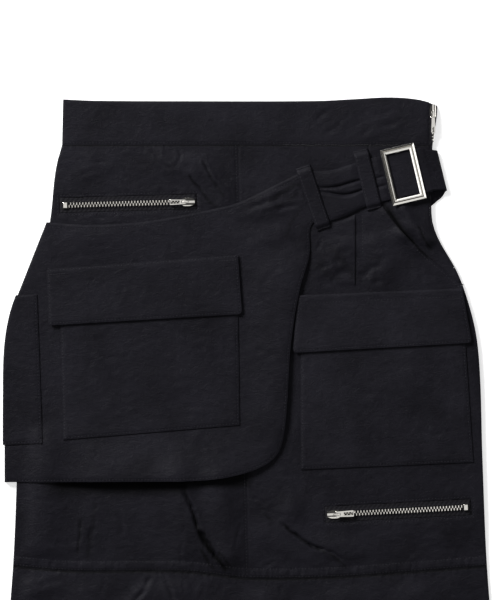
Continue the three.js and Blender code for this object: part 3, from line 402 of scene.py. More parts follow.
def pocket_mouth(shift: float) -> list[Point]:
    """Follows the hand pocket's opening down, moved to the left in its middle, where it gapes."""
    line = through(HAND_POCKET)
    shares = np.linspace(0, 1, len(line))
    drawn = np.sin(np.pi * np.clip(shares / 0.85, 0, 1)) ** 1.5 * shift
    return [(x - d, y) for (x, y), d in zip(line, drawn.tolist())]


def centre_x(y: float) -> float:
    """Gives the place of the centre front seam, which leans a little."""
    share = (WAIST_SEAM_Y - y) / (WAIST_SEAM_Y - TIER_SEAM_Y)
    return CENTRE_TOP_X + (CENTRE_BOTTOM_X - CENTRE_TOP_X) * share


def through(points: Sequence[Point], pitch: float = 6.0) -> list[Point]:
    """Draws a smooth line through a few points.

    Args:
        points: The points that the line goes through.
        pitch: About how far apart the new points lie.

    Returns:
        Points along the line, both ends included.
    """
    across = Profile([(i, p[0]) for i, p in enumerate(points)])
    up = Profile([(i, p[1]) for i, p in enumerate(points)])
    length = sum(math.dist(p, q) for p, q in zip(points, points[1:]))
    at = np.linspace(0, len(points) - 1, max(2, round(length / pitch)) + 1)
    return list(zip(across(at).tolist(), up(at).tolist()))


def curve_between(start: Point, bend: Point, end: Point, steps: int) -> list[Point]:
    """Draws a round corner from one point to another, pulled towards a third."""
    return [
        tuple((1 - t) ** 2 * a + 2 * t * (1 - t) * b + t * t * c for a, b, c in zip(start, bend, end))
        for t in (i / steps for i in range(steps + 1))
    ]


def rounded(points: Sequence[Point], radius: float, which: Sequence[int]) -> list[Point]:
    """Rounds some corners of an outline.

    Args:
        points: The corners.
        radius: How far from the corner the round starts.
        which: The indexes of the corners to round.

    Returns:
        The new outline.
    """
    made: list[Point] = []
    for i, p in enumerate(points):
        if i not in which:
            made.append(p)
            continue
        ends = []
        for q in (points[i - 1], points[(i + 1) % len(points)]):
            share = radius / math.dist(p, q)
            ends.append((p[0] + (q[0] - p[0]) * share, p[1] + (q[1] - p[1]) * share))
        made += curve_between(ends[0], p, ends[1], 4)
    return made


def side_line(side: Profile, low: float, high: float, inset: float = 0.0) -> list[Point]:
    """Follows a side edge of the skirt upwards.

    Args:
        side: The edge to follow.
        low: Where it starts.
        high: Where it ends.
        inset: How far the line is moved to the right.

    Returns:
        Points up the edge.
    """
    ys = np.linspace(low, high, max(2, round((high - low) / 7)) + 1)
    return list(zip((side(ys) + inset).tolist(), ys.tolist()))


def beside(points: Sequence[Point], distance: float) -> list[Point]:
    """Moves an open line sideways.

    Args:
        points: The line.
        distance: How far to its left it is moved.

    Returns:
        The moved line, with its corners mitred.
    """
    line = [Vector(p) for p in points]
    normals = []
    for a, b in zip(line, line[1:]):
        along = (b - a).normalized()
        normals.append(Vector((-along.y, along.x)))
    moved = []
    for i, p in enumerate(line):
        before, after = normals[max(0, i - 1)], normals[min(i, len(normals) - 1)]
        middle = (before + after).normalized()
        moved.append(tuple(p + middle * (distance / max(0.5, middle.dot(before)))))
    return moved


def distance_to(lines: Sequence[Sequence[Point]], x: Array, y: Array) -> Array:
    """Gives the distance from each point to the nearest of several lines."""
    nearest = np.full(x.shape, np.inf)
    for line in lines:
        for (x1, y1), (x2, y2) in zip(line, line[1:]):
            dx, dy = x2 - x1, y2 - y1
            t = np.clip(((x - x1) * dx + (y - y1) * dy) / max(dx * dx + dy * dy, 1e-9), 0, 1)
            nearest = np.minimum(nearest, np.hypot(x - x1 - t * dx, y - y1 - t * dy))
    return nearest


@dataclass(frozen=True)
class Outline:
    """The cut of a flat piece, anticlockwise."""

    points: tuple[Point, ...]

    @staticmethod
    def of(points: Sequence[Point]) -> "Outline":
        """Makes an outline, turned anticlockwise, without repeated points."""
        kept = [p for p, q in zip(points, [*points[1:], points[0]]) if math.dist(p, q) > 0.05]
        outline = Outline(tuple((float(x), float(y)) for x, y in kept))
        return outline if outline.signed_area() > 0 else Outline(outline.points[::-1])

    def signed_area(self) -> float:
        """Gives the area in square millimetres, negative if clockwise."""
        after = (*self.points[1:], self.points[0])
        return sum(p[0] * q[1] - q[0] * p[1] for p, q in zip(self.points, after)) / 2

    def closed(self) -> tuple[Point, ...]:
        """Gives the points with the first repeated at the end."""
        return (*self.points, self.points[0])

    def depth(self, x: Array, y: Array) -> Array:
        """Gives how far inside the outline each point lies, negative outside."""
        inside = np.zeros(x.shape, bool)
        for (x1, y1), (x2, y2) in zip(self.closed(), self.closed()[1:]):
            crosses = (y1 > y) != (y2 > y)
            with np.errstate(divide="ignore", invalid="ignore"):
                inside ^= crosses & (x < (x2 - x1) * (y - y1) / (y2 - y1) + x1)
        return np.where(inside, 1.0, -1.0) * distance_to([self.closed()], x, y)

    def size(self) -> tuple[float, float]:
        """Gives the width and the length of the box round the outline."""
        xs, ys = zip(*self.points)
        return max(xs) - min(xs), max(ys) - min(ys)


class Lay:
    """How high the underside of each layer of the laid skirt lies."""

    @staticmethod
    def prop(y: Array) -> Array:
        """Gives how far the back is propped up by the overlay's back and the belt."""
        taper = np.clip((REST_TOP_Y - y) / (REST_TOP_Y - FLAT_TOP_Y), 0, 1)
        return PLY * rise(REST_BOTTOM_Y, FLAT_BOTTOM_Y, y) * taper

    @staticmethod
    def ridges(rows: Sequence[Ridge], x: Array, y: Array) -> Array:
        """Adds up the soft ridges at each point."""
        total = np.zeros(x.shape)
        for row in rows:
            away = distance_to([((row.x1, row.y1), (row.x2, row.y2))], x, y)
            total += row.height * np.exp(-((away / row.width) ** 2))
        return total

    @staticmethod
    def calm(x: Array, y: Array) -> Array:
        """Gives how much of the folds is left beside flat pieces and side edges."""
        share = rise(4, 18, x - left_side(y)) * rise(4, 18, right_side(y) - x)
        for x1, y1, x2, y2, reach in CALM:
            share = share * rise(reach, reach + CALM_FADE, distance_to([((x1, y1), (x2, y2))], x, y))
        return share

    @staticmethod
    def by_seam(x: Array, y: Array) -> Array:
        """Gives how much of the folds is left beside the tier seam."""
        return rise(2, 22, np.abs(y - tier_seam(x)))

    @staticmethod
    def back(x: Array, y: Array) -> Array:
        """Gives the underside of the back."""
        return Lay.prop(y) + 0 * x

    @staticmethod
    def band(x: Array, y: Array) -> Array:
        """Gives the underside of the front of the waistband."""
        return Lay.prop(y) + PLY + 0 * x

    @staticmethod
    def bearer(x: Array, y: Array) -> Array:
        """Gives the underside of the hip piece behind the hand pocket."""
        folds = Lay.ridges(HIP_FOLDS, x, y) * Lay.calm(x, y) * Lay.by_seam(x, y)
        return Lay.prop(y) + PLY + folds * rise(0, 18, WAIST_SEAM_Y - y)

    @staticmethod
    def hip(x: Array, y: Array) -> Array:
        """Gives the underside of the hip's front panels."""
        lift = Lay.ridges(POCKET_LIFT, x, y) * Lay.calm(x, y) * rise(0, 20, y - CARGO_FLAP[1][1])
        return Lay.bearer(x, y) + lift

    @staticmethod
    def tier(x: Array, y: Array) -> Array:
        """Gives the underside of the tier's front."""
        folds = Lay.ridges(TIER_FOLDS, x, y) * Lay.calm(x, y) * Lay.by_seam(x, y)
        return Lay.prop(y) + PLY + folds * rise(0, 20, y - HEM_Y)

    @staticmethod
    def overlay(x: Array, y: Array) -> Array:
        """Gives the underside of the overlay's front."""
        folds = Lay.ridges(OVERLAY_FOLDS, x, y) * rise(6, 26, x - overlay_left(y))
        return Lay.hip(x, y) + PLY + folds * rise(24, 40, np.hypot(x - 57, y - 284))


def onto(under: Height, plies: int) -> Height:
    """Gives the underside of a piece that lies on another, some plies up."""
    return lambda x, y: under(x, y) + plies * PLY


def flap_on(under: Height, top_y: float, low_y: float) -> Height:
    """Gives the underside of a flap whose free edge stands off a little."""
    return lambda x, y: under(x, y) + FLAP_LIFT * np.clip((top_y - y) / (top_y - low_y), 0, 1) ** 2


def noise_at(x: Array, y: Array, across: float, up: float, seed: float) -> Array:
    """Reads smooth noise.

    Args:
        x: Places across.
        y: Places up.
        across: The size of its lumps across.
        up: The size of its lumps up.
        seed: A number that no other call uses.

    Returns:
        Values from about -1 to 1.
    """
    pairs = zip((x / across).tolist(), (y / up).tolist())
    return np.array([noise.noise((a, b, seed)) for a, b in pairs])


def crushed(x: Array, y: Array, seed: float) -> Array:
    """Gives the crushed finish of the cloth: short uneven wrinkles, most of them nearly level.

    Args:
        x: Places across.
        y: Places up.
        seed: A number that no other piece uses.

    Returns:
        Heights from about -1 to 1.
    """
    u = x + 5 * noise_at(x, y, 22, 22, seed + 1)
    v = y + 4 * noise_at(x, y, 22, 22, seed + 2)
    rising = noise_at(u + 0.1 * v, v - 0.1 * u, 9, 4.6, seed + 3)
    falling = noise_at(u - 0.6 * v, v + 0.6 * u, 8, 4.4, seed + 4)
    sharp = np.abs(noise_at(u, v, 11, 8, seed + 5)) * 2 - 0.4
    return 0.5 * rising + 0.6 * falling + 0.5 * sharp


def wandered(x: Array, y: Array) -> tuple[Array, Array]:
    """Moves places a little, so that a crease read there runs unevenly."""
    aside = 1.8 * noise_at(x, y, 13, 13, 3.1) + 0.8 * noise_at(x, y, 4, 4, 5.2)
    upward = 1.8 * noise_at(x, y, 13, 13, 9.4) + 0.8 * noise_at(x, y, 4, 4, 7.7)
    return x + aside, y + upward


def worked(rows: Sequence[Crease], x: Array, y: Array) -> Array:
    """Adds up the creases of a piece.

    Args:
        rows: The creases.
        x: Places across.
        y: Places up.

    Returns:
        How far the cloth is moved up at each place.
    """
    total = np.zeros(x.shape)
    if not rows:
        return total
    wander_x, wander_y = wandered(x, y)
    uneven = np.clip(0.85 + 0.9 * noise_at(x, y, 7, 7, 2.6), 0.2, 1.5)
    for row in rows:
        lengths = [math.dist(p, q) for p, q in zip(row.path, row.path[1:])]
        best, along, before = np.full(x.shape, np.inf), np.zeros(x.shape), 0.0
        for (x1, y1), (x2, y2), length in zip(row.path, row.path[1:], lengths):
            t = np.clip(((wander_x - x1) * (x2 - x1) + (wander_y - y1) * (y2 - y1)) / length**2, 0, 1)
            away = np.hypot(wander_x - x1 - t * (x2 - x1), wander_y - y1 - t * (y2 - y1))
            nearer = away < best
            along = np.where(nearer, before + t * length, along)
            best = np.where(nearer, away, best)
            before += length
        share = along / before
        taper = np.sqrt(np.clip(5 * share * (1 - share), 0, 1))
        swell = row.swell * np.exp(-((best / row.reach) ** 2)) * (0.35 + 0.65 * taper)
        total += swell - row.furrow * uneven * taper * np.exp(-((best / row.width) ** 2))
    return total


class Pitch(Enum):
    """How far apart the cuts through a sheet of cloth lie, in millimetres."""

    CREASED = 1.35
    FINE = 1.8
    HIDDEN = 5.5


def cuts(low: float, high: float, pitch: Pitch, hidden: Sequence[Point] = ()) -> list[float]:
    """Lists the places of the cuts through a sheet.

    Args:
        low: The lowest edge.
        high: The highest edge.
        pitch: How far apart the cuts lie where the cloth shows.
        hidden: Stretches that something else covers.

    Returns:
        The places, from low to high.
    """
    places, at = [], low + 0.7
    while at < high - 0.4:
        places.append(at)
        covered = any(a < at < b - Pitch.HIDDEN.value for a, b in hidden)
        at += (Pitch.HIDDEN if covered else pitch).value
    return places


def new_object(name: str, bm: bmesh.types.BMesh, material: bpy.types.Material,
               smooth: bool = True) -> bpy.types.Object:
    """Makes an object from a bmesh.

    Args:
        name: The object's name.
        bm: The shape, in metres, which is freed.
        material: What it is made of.
        smooth: Whether its faces are shaded smooth.

    Returns:
        The new object, in the scene.
    """
    for face in bm.faces:
        face.smooth = smooth
    mesh = bpy.data.meshes.new(name)
    bm.to_mesh(mesh)
    bm.free()
    mesh.materials.append(material)
    made = bpy.data.objects.new(name, mesh)
    bpy.context.scene.collection.objects.link(made)
    return made


def add_modifier(target: bpy.types.Object, kind: str, **settings: object) -> None:
    """Adds a modifier with its settings to an object."""
    modifier = target.modifiers.new(kind.lower(), kind)
    for name, value in settings.items():
        setattr(modifier, name, value)


def flat_face(bm: bmesh.types.BMesh, points: Sequence[Point], level: float = 0.0) -> bmesh.types.BMFace:
    """Draws a flat face from its corners, in millimetres, at a level."""
    return bm.faces.new([bm.verts.new((x * MM, y * MM, level * MM)) for x, y in points])


def upwards(bm: bmesh.types.BMesh) -> None:
    """Turns the faces of an open sheet so that its top faces up."""
    bmesh.ops.recalc_face_normals(bm, faces=bm.faces)
    if sum(f.normal.z * f.calc_area() for f in bm.faces) < 0:
        bmesh.ops.reverse_faces(bm, faces=bm.faces)


def slice_up(bm: bmesh.types.BMesh, axis: int, places: Sequence[float]) -> None:
    """Cuts flat faces along lines at right angles to an axis.

    Args:
        bm: The sheet.
        axis: 0 for cuts across X, 1 for cuts across Y.
        places: Where the cuts go, in millimetres.
    """
    rest = list(bm.faces)
    normal = Vector((1 - axis, axis, 0))
    for place in sorted(places):
        parts = {edge for f in rest for edge in f.edges} | {v for f in rest for v in f.verts}
        made = bmesh.ops.bisect_plane(
            bm, geom=[*rest, *parts], dist=TOUCHING, plane_co=normal * place * MM, plane_no=normal,
        )["geom"]
        faces = [f for f in made if isinstance(f, bmesh.types.BMFace)]
        rest = [f for f in faces if f.calc_center_median()[axis] > place * MM]
        if not rest:
            return


@dataclass
class Stitching:
    """A row of topstitches along a line, and the size of each, in millimetres."""

    path: list[Point]
    pitch: float = 2.9
    length: float = 2.1
    width: float = 0.62
    height: float = 0.42

    def sew(self, bm: bmesh.types.BMesh, top: Height) -> None:
        """Adds the stitches of this row.

        Args:
            bm: The mesh of stitches, in metres.
            top: The height of the cloth that they go through.
        """
        marks = []
        left_over = 0.0
        for p, q in zip(self.path, self.path[1:]):
            length = math.dist(p, q)
            at = left_over
            while at < length:
                share = at / max(length, 1e-6)
                angle = math.atan2(q[1] - p[1], q[0] - p[0])
                marks.append((p[0] + (q[0] - p[0]) * share, p[1] + (q[1] - p[1]) * share, angle))
                at += self.pitch
            left_over = at - length
        if not marks:
            return
        x, y, angle = np.array(marks).T
        reach = self.length / 2
        ahead = top(x + reach * np.cos(angle), y + reach * np.sin(angle))
        behind = top(x - reach * np.cos(angle), y - reach * np.sin(angle))
        level = (ahead + behind + 2 * top(x, y)) / 4
        slope = np.arctan2(ahead - behind, self.length)
        stretch = Matrix.Diagonal((self.length * MM / 2, self.width * MM / 2, self.height * MM / 2, 1))
        for row in zip(x, y, level, angle, slope):
            place = Matrix.Translation(Vector(row[:3]) * MM)
            turn = Matrix.Rotation(row[3], 4, "Z") @ Matrix.Rotation(-row[4], 4, "Y")
            bmesh.ops.create_icosphere(bm, subdivisions=1, radius=1, matrix=place @ turn @ stretch)


@dataclass
class Cut:
    """A sewn piece of cloth: its cut, how it lies, and what is worked into it."""

    name: str
    node: str
    outline: Outline
    under: Height
    rests_on: tuple[str, ...]
    creases: tuple[Crease, ...] = ()
    covers: tuple[Outline, ...] = ()
    windows: tuple[Outline, ...] = ()
    walls: tuple[tuple[Profile, Height], ...] = ()
    stitching: tuple[Stitching, ...] = ()
    hidden_y: tuple[Point, ...] = ()
    extra_x: tuple[float, ...] = ()
    pitch: Pitch = Pitch.FINE
    crinkle: float = 0.3
    roll: float = 0.5
    roll_reach: float = 1.2
    seed: float = 0.0
    rings: tuple[float, ...] = (0.45, 0.6, 0.7, 1.0)
    bed: Height | None = None
    step: Height | None = None
    wall_reach: float = 8.0
    stitch_dip: float = 0.22
    stitch_reach: float = 0.9
    cut_size: tuple[float, float, float] | None = None
    # Painted shade: lines, and a patch below the overlay's hem, where the cloth's colour is darkened nearly
    # to black
    painted_shade: tuple[PaintedShade, ...] = ()
    painted_shadow: Height | None = None

    def top(self, x: Array, y: Array) -> Array:
        """Gives the height of the cloth's upper face at each point."""
        x, y = np.asarray(x, float), np.asarray(y, float)
        base = self.under(x, y) + CLOTH
        shown = np.ones(x.shape)
        for cover in self.covers:
            shown *= rise(0, 3, -cover.depth(x, y))
        loose = worked(self.creases, x, y)
        loose += self.crinkle * crushed(x, y, self.seed)
        edge = distance_to([self.outline.closed()], x, y)
        shape = base + loose * shown * rise(0, 5, edge)
        if self.step:
            shape = shape + self.step(x, y) * shown
        low = self.bed(x, y) if self.bed else base - PLY
        shape = np.maximum(shape, low + SHOWN_CLOTH + 0.1)
        rows = [row.path for row in self.stitching]
        if rows:
            shape = shape - self.stitch_dip * np.exp(-((distance_to(rows, x, y) / self.stitch_reach) ** 2))
        for window in self.windows:
            edge = np.minimum(edge, distance_to([window.closed()], x, y))
        return shape - self.roll * np.exp(-((edge / self.roll_reach) ** 2))

    def painted_shade_share(self, x: Array, y: Array) -> Array:
        """Gives how much painted shade darkens the cloth at each point, along its lines of shade and below
        the overlay's hem, where its face is also made matt.
        """
        share = np.zeros(x.shape)
        for row in self.painted_shade:
            places = (x, y) if row.even else wandered(x, y)
            ragged = 1.0 if row.even else np.clip(1 + 0.9 * noise_at(x, y, 2.2, 5.0, 4.4), 0.4, 1.9)
            near = np.exp(-((distance_to([row.path], *places) / (row.reach * ragged)) ** 2))
            share = np.maximum(share, row.share * near)
        if self.painted_shadow:
            share = np.maximum(share, self.painted_shadow(x, y))
        return share

    def flat_sheet(self) -> bmesh.types.BMesh:
        """Cuts the flat piece into a fine net of faces.

        Returns:
            The flat net, with rings of faces along its edge.
        """
        bm = bmesh.new()
        flat_face(bm, self.outline.points)
        for ring in self.rings:
            inner = max(bm.faces, key=lambda f: f.calc_area())
            bmesh.ops.inset_region(
                bm, faces=[inner], thickness=ring * MM, use_boundary=True, use_even_offset=True,
            )
        xs, ys = zip(*self.outline.points)
        for window in self.windows:
            self.cut_window(bm, window)
        slice_up(bm, 0, [*cuts(min(xs), max(xs), self.pitch), *self.extra_x])
        slice_up(bm, 1, cuts(min(ys), max(ys), self.pitch, self.hidden_y))
        upwards(bm)
        return bm

    @staticmethod
    def cut_window(bm: bmesh.types.BMesh, window: Outline) -> None:
        """Cuts a four-sided window out of a flat sheet.

        Args:
            bm: The sheet.
            window: The window's outline.
        """
        for reach in (0.0, 0.8, 1.8):
            for (x1, y1), (x2, y2) in zip(window.closed(), window.closed()[1:]):
                outward = Vector((y2 - y1, x1 - x2, 0)).normalized()
                bmesh.ops.bisect_plane(
                    bm, geom=[*bm.verts, *bm.edges, *bm.faces], dist=TOUCHING,
                    plane_co=Vector((x1, y1, 0)) * MM + outward * reach * MM, plane_no=outward,
                )
        middles = [f.calc_center_median() / MM for f in bm.faces]
        depths = window.depth(np.array([m.x for m in middles]), np.array([m.y for m in middles]))
        gone = [f for f, depth in zip(bm.faces, depths) if depth > 0]
        bmesh.ops.delete(bm, geom=gone, context="FACES")

    def lay_down(self, bm: bmesh.types.BMesh) -> None:
        """Gives the flat net the height of the laid piece and turns its side edges down.

        Args:
            bm: The flat net.
        """
        x = np.array([v.co.x for v in bm.verts]) / MM
        y = np.array([v.co.y for v in bm.verts]) / MM
        for vert, z in zip(bm.verts, self.top(x, y)):
            vert.co.z = z * MM
        for side, low in self.walls:
            edges = [
                e for e in bm.edges
                if e.is_boundary and all(abs(side(v.co.y / MM) - v.co.x / MM) < 0.6 for v in e.verts)
                and abs(e.verts[0].co.y - e.verts[1].co.y) > 2 * abs(e.verts[0].co.x - e.verts[1].co.x)
            ]
            for step in (0.5, 1.0):
                fresh = bmesh.ops.extrude_edge_only(bm, edges=edges)["geom"]
                verts = [v for v in fresh if isinstance(v, bmesh.types.BMVert)]
                edges = [e for e in fresh if isinstance(e, bmesh.types.BMEdge)]
                ends = low(np.array([v.co.x / MM for v in verts]), np.array([v.co.y / MM for v in verts]))
                for vert, z in zip(verts, ends):
                    vert.co.z += (z * MM - vert.co.z) * step
                edges = [e for e in edges if all(v in verts for v in e.verts)]
        upwards(bm)

    def make(self, cloth: bpy.types.Material, thread: bpy.types.Material) -> bpy.types.Object:
        """Builds the piece and its topstitching.

        Args:
            cloth: What the piece is cut from.
            thread: What it is sewn with.

        Returns:
            The piece.
        """
        bm = self.flat_sheet()
        self.lay_down(bm)
        made = new_object(self.name, bm, cloth)
        # Stores each point's share of painted shade, which the cloth material darkens
        if self.painted_shade or self.painted_shadow:
            places = np.array([v.co for v in made.data.vertices]) / MM
            matt = made.data.attributes.new("painted_shade", "FLOAT", "POINT")
            matt.data.foreach_set("value", self.painted_shade_share(places[:, 0], places[:, 1]))
        add_modifier(made, "SOLIDIFY", thickness=SHOWN_CLOTH * MM, offset=-1.0)
        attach(made, "skirt")
        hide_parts(self.node)
        width, length = self.outline.size()
        area = self.outline.signed_area() + self.wall_reach * length * len(self.walls)
        width += self.wall_reach * len(self.walls)
        area = max(0.3 * width * length, min(area, width * length))
        if self.cut_size:
            width, length, area = self.cut_size
        if self.stitching:
            sewn = bmesh.new()
            for row in self.stitching:
                row.sew(sewn, self.top)
            stitches = new_object(f"{self.name}_stitches", sewn, thread)
            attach(stitches, "skirt")
        log.info("%s: %d faces", self.name, len(made.data.polygons))
        return made


def linear(code: str) -> tuple[float, float, float, float]:
    """Turns an sRGB hex colour to linear.

    Args:
        code: The colour, such as #202020.

    Returns:
        Red, green, blue and an alpha of 1.
    """
    parts = [int(code[i:i + 2], 16) / 255 for i in (1, 3, 5)]
    return (*[c / 12.92 if c <= 0.04045 else ((c + 0.055) / 1.055) ** 2.4 for c in parts], 1.0)


def add_node(
    tree: bpy.types.NodeTree, kind: str, settings: dict[str | int, object] | None = None,
    links: dict[str | int, bpy.types.NodeSocket] | None = None,
) -> bpy.types.Node:
    """Adds a node to a material.

    Args:
        tree: The material's nodes.
        kind: The node's type.
        settings: Values, by the name of an input or else of a property.
        links: What goes into an input, by its name or number.

    Returns:
        The new node.
    """
    node = tree.nodes.new(kind)
    for name, value in (settings or {}).items():
        if isinstance(name, int) or name in node.inputs:
            node.inputs[name].default_value = value
        else:
            setattr(node, name, value)
    for name, source in (links or {}).items():
        tree.links.new(source, node.inputs[name])
    return node


def start_material(name: str) -> tuple[bpy.types.Material, bpy.types.NodeTree, bpy.types.Node]:
    """Starts a material.

    Args:
        name: The material's name.

    Returns:
        The material, its nodes and its main shader.
    """
    material = bpy.data.materials.new(name)
    material.use_nodes = True
    return material, material.node_tree, material.node_tree.nodes["Principled BSDF"]


@dataclass(frozen=True)
class CrinkledNylon:
    """Black crinkled nylon: a matt, faintly blue cloth whose crushed finish catches soft streaks of light."""

    name: str = "crinkled_nylon"
    dark: str = "#111016"
    light: str = "#1d1c23"
    # The near-black of the painted shade
    painted_shade: str = "#020203"
    roughness: float = 0.56
    specular: float = 0.11
    crinkle_mm: tuple[float, float] = (8.0, 4.8)
    lean_degrees: tuple[float, float] = (28.0, -6.0)
    # The threads are under half a millimetre and are drawn at over twice that to show
    thread_mm: float = 1.3

    def make(self) -> bpy.types.Material:
        """Builds the material.

        Returns:
            The finished material.
        """
        material, tree, shader = start_material(self.name)
        place = add_node(tree, "ShaderNodeTexCoord").outputs["Object"]
        across, up = (1000 / size for size in self.crinkle_mm)
        layers = []
        for lean in self.lean_degrees:
            turned = add_node(
                tree, "ShaderNodeMapping", {"Rotation": (0, 0, math.radians(lean))}, {"Vector": place},
            )
            stretched = add_node(
                tree, "ShaderNodeMapping", {"Scale": (across, up, up)}, {"Vector": turned.outputs[0]},
            )
            layers.append(add_node(
                tree, "ShaderNodeTexNoise",
                {"Scale": 1.0, "Detail": 5.0, "Roughness": 0.66, "Distortion": 1.4},
                {"Vector": stretched.outputs[0]},
            ))
        streaks = add_node(
            tree, "ShaderNodeMath", {"operation": "MAXIMUM"},
            {0: layers[0].outputs[0], 1: layers[1].outputs[0]},
        )
        patches = add_node(tree, "ShaderNodeTexNoise", {"Scale": 26.0, "Detail": 3.0}, {"Vector": place})
        threads = 1000 / self.thread_mm
        weft = add_node(
            tree, "ShaderNodeMapping", {"Scale": (threads * 0.35, threads, threads)}, {"Vector": place},
        )
        warp = add_node(
            tree, "ShaderNodeMapping", {"Scale": (threads, threads * 0.35, threads)}, {"Vector": place},
        )
        slubs = [
            add_node(tree, "ShaderNodeTexNoise", {"Scale": 1.0, "Detail": 1.5}, {"Vector": line.outputs[0]})
            for line in (weft, warp)
        ]
        woven = add_node(
            tree, "ShaderNodeMath", {"operation": "MAXIMUM"},
            {0: slubs[0].outputs[0], 1: slubs[1].outputs[0]},
        )
        shade = add_node(
            tree, "ShaderNodeMath", {"operation": "MULTIPLY_ADD", 1: 0.55},
            {0: woven.outputs[0], 2: patches.outputs[0]},
        )
        ramp = add_node(
            tree, "ShaderNodeMapRange", {"From Min": 0.55, "From Max": 1.05}, {"Value": shade.outputs[0]},
        )
        tint = add_node(
            tree, "ShaderNodeMix", {"data_type": "RGBA", 6: linear(self.dark), 7: linear(self.light)},
            {0: ramp.outputs[0]},
        )
        # Painted shade: in folds, seams, the pocket mouth and below the hem the colour is mixed towards
        # near-black, and the face is made matt
        painted_shade = add_node(tree, "ShaderNodeAttribute", {"attribute_name": "painted_shade"}).outputs["Fac"]
        matt = add_node(
            tree, "ShaderNodeMix", {"data_type": "RGBA", 7: linear(self.painted_shade)},
            {0: painted_shade, 6: tint.outputs[2]},
        )
        tree.links.new(matt.outputs[2], shader.inputs["Base Color"])
        rough = add_node(
            tree, "ShaderNodeMapRange", {"To Min": self.roughness - 0.08, "To Max": self.roughness + 0.1},
            {"Value": streaks.outputs[0]},
        )
        dull = add_node(tree, "ShaderNodeMath", {"operation": "MAXIMUM"}, {0: rough.outputs[0], 1: painted_shade})
        tree.links.new(dull.outputs[0], shader.inputs["Roughness"])
        crush = add_node(
            tree, "ShaderNodeBump", {"Strength": 0.6, "Distance": 0.0013}, {"Height": streaks.outputs[0]},
        )
        weave = add_node(
            tree, "ShaderNodeBump", {"Strength": 0.4, "Distance": 0.00025},
            {"Height": woven.outputs[0], "Normal": crush.outputs[0]},
        )
        tree.links.new(weave.outputs[0], shader.inputs["Normal"])
        shader.inputs["Specular IOR Level"].default_value = self.specular
        return material


@dataclass(frozen=True)
class SewingThread:
    """Spun polyester thread: a tight twist with a slight gleam, a shade lighter than the cloth."""

    name: str = "polyester_thread"
    colour: str = "#1f1e25"
    twist_mm: float = 0.7

    def make(self) -> bpy.types.Material:
        """Builds the material.

        Returns:
            The finished material.
        """
        material, tree, shader = start_material(self.name)
        place = add_node(tree, "ShaderNodeTexCoord").outputs["Object"]
        twist = add_node(
            tree, "ShaderNodeTexNoise", {"Scale": 1000 / self.twist_mm, "Detail": 1.0}, {"Vector": place},
        )
        bump = add_node(
            tree, "ShaderNodeBump", {"Strength": 0.4, "Distance": 0.0002}, {"Height": twist.outputs[0]},
        )
        tree.links.new(bump.outputs[0], shader.inputs["Normal"])
        shader.inputs["Base Color"].default_value = linear(self.colour)
        shader.inputs["Roughness"].default_value = 0.5
        shader.inputs["Specular IOR Level"].default_value = 0.3
        return material


@dataclass(frozen=True)
class ZipTape:
    """Woven polyester zip tape: fine ribs across a matt black ribbon."""

    name: str = "woven_zip_tape"
    colour: str = "#151419"
    rib_mm: float = 1.6

    def make(self) -> bpy.types.Material:
        """Builds the material.

        Returns:
            The finished material.
        """
        material, tree, shader = start_material(self.name)
        place = add_node(tree, "ShaderNodeTexCoord").outputs["Object"]
        turned = add_node(
            tree, "ShaderNodeMapping", {"Rotation": (0, 0, math.radians(40))}, {"Vector": place},
        )
        ribs = add_node(
            tree, "ShaderNodeTexWave", {"Scale": 1000 / self.rib_mm / math.tau, "Distortion": 0.6},
            {"Vector": turned.outputs[0]},
        )
        bump = add_node(
            tree, "ShaderNodeBump", {"Strength": 0.6, "Distance": 0.0003}, {"Height": ribs.outputs["Fac"]},
        )
        tree.links.new(bump.outputs[0], shader.inputs["Normal"])
        shader.inputs["Base Color"].default_value = linear(self.colour)
        shader.inputs["Roughness"].default_value = 0.8
        shader.inputs["Specular IOR Level"].default_value = 0.2
        return material


@dataclass(frozen=True)
class PolishedNickel:
    """Polished nickel plate: a bright, slightly warm mirror with fine handling marks."""

    name: str = "polished_nickel"
    colour: str = "#e6e3dd"
    roughness: float = 0.07
    scuff_mm: float = 2.2

    def make(self) -> bpy.types.Material:
        """Builds the material.

        Returns:
            The finished material.
        """
        material, tree, shader = start_material(self.name)
        place = add_node(tree, "ShaderNodeTexCoord").outputs["Object"]
        scuffs = add_node(
            tree, "ShaderNodeTexNoise", {"Scale": 1000 / self.scuff_mm, "Detail": 2.0}, {"Vector": place},
        )
        rough = add_node(
            tree, "ShaderNodeMapRange", {"To Min": self.roughness - 0.03, "To Max": self.roughness + 0.06},
            {"Value": scuffs.outputs[0]},
        )
        bump = add_node(
            tree, "ShaderNodeBump", {"Strength": 0.03, "Distance": 0.0002}, {"Height": scuffs.outputs[0]},
        )
        tree.links.new(rough.outputs[0], shader.inputs["Roughness"])
        tree.links.new(bump.outputs[0], shader.inputs["Normal"])
        shader.inputs["Base Color"].default_value = linear(self.colour)
        shader.inputs["Metallic"].default_value = 1.0
        return material


@dataclass(frozen=True)
class StudioSweep:
    """White seamless board under the skirt: plain, matt and evenly lit."""

    name: str = "white_board"
    colour: str = "#fbfbfb"
    grain_mm: float = 3.0
    # Light from behind the board keeps it white in the skirt's own shadow
    glow: float = 0.6

    def make(self) -> bpy.types.Material:
        """Builds the material.

        Returns:
            The finished material.
        """
        material, tree, shader = start_material(self.name)
        place = add_node(tree, "ShaderNodeTexCoord").outputs["Object"]
        grain = add_node(tree, "ShaderNodeTexNoise", {"Scale": 1000 / self.grain_mm}, {"Vector": place})
        bump = add_node(
            tree, "ShaderNodeBump", {"Strength": 0.02, "Distance": 0.0001}, {"Height": grain.outputs[0]},
        )
        tree.links.new(bump.outputs[0], shader.inputs["Normal"])
        shader.inputs["Base Color"].default_value = linear(self.colour)
        shader.inputs["Roughness"].default_value = 0.9
        shader.inputs["Specular IOR Level"].default_value = 0.2
        shader.inputs["Emission Color"].default_value = (1, 1, 1, 1)
        shader.inputs["Emission Strength"].default_value = self.glow
        return material


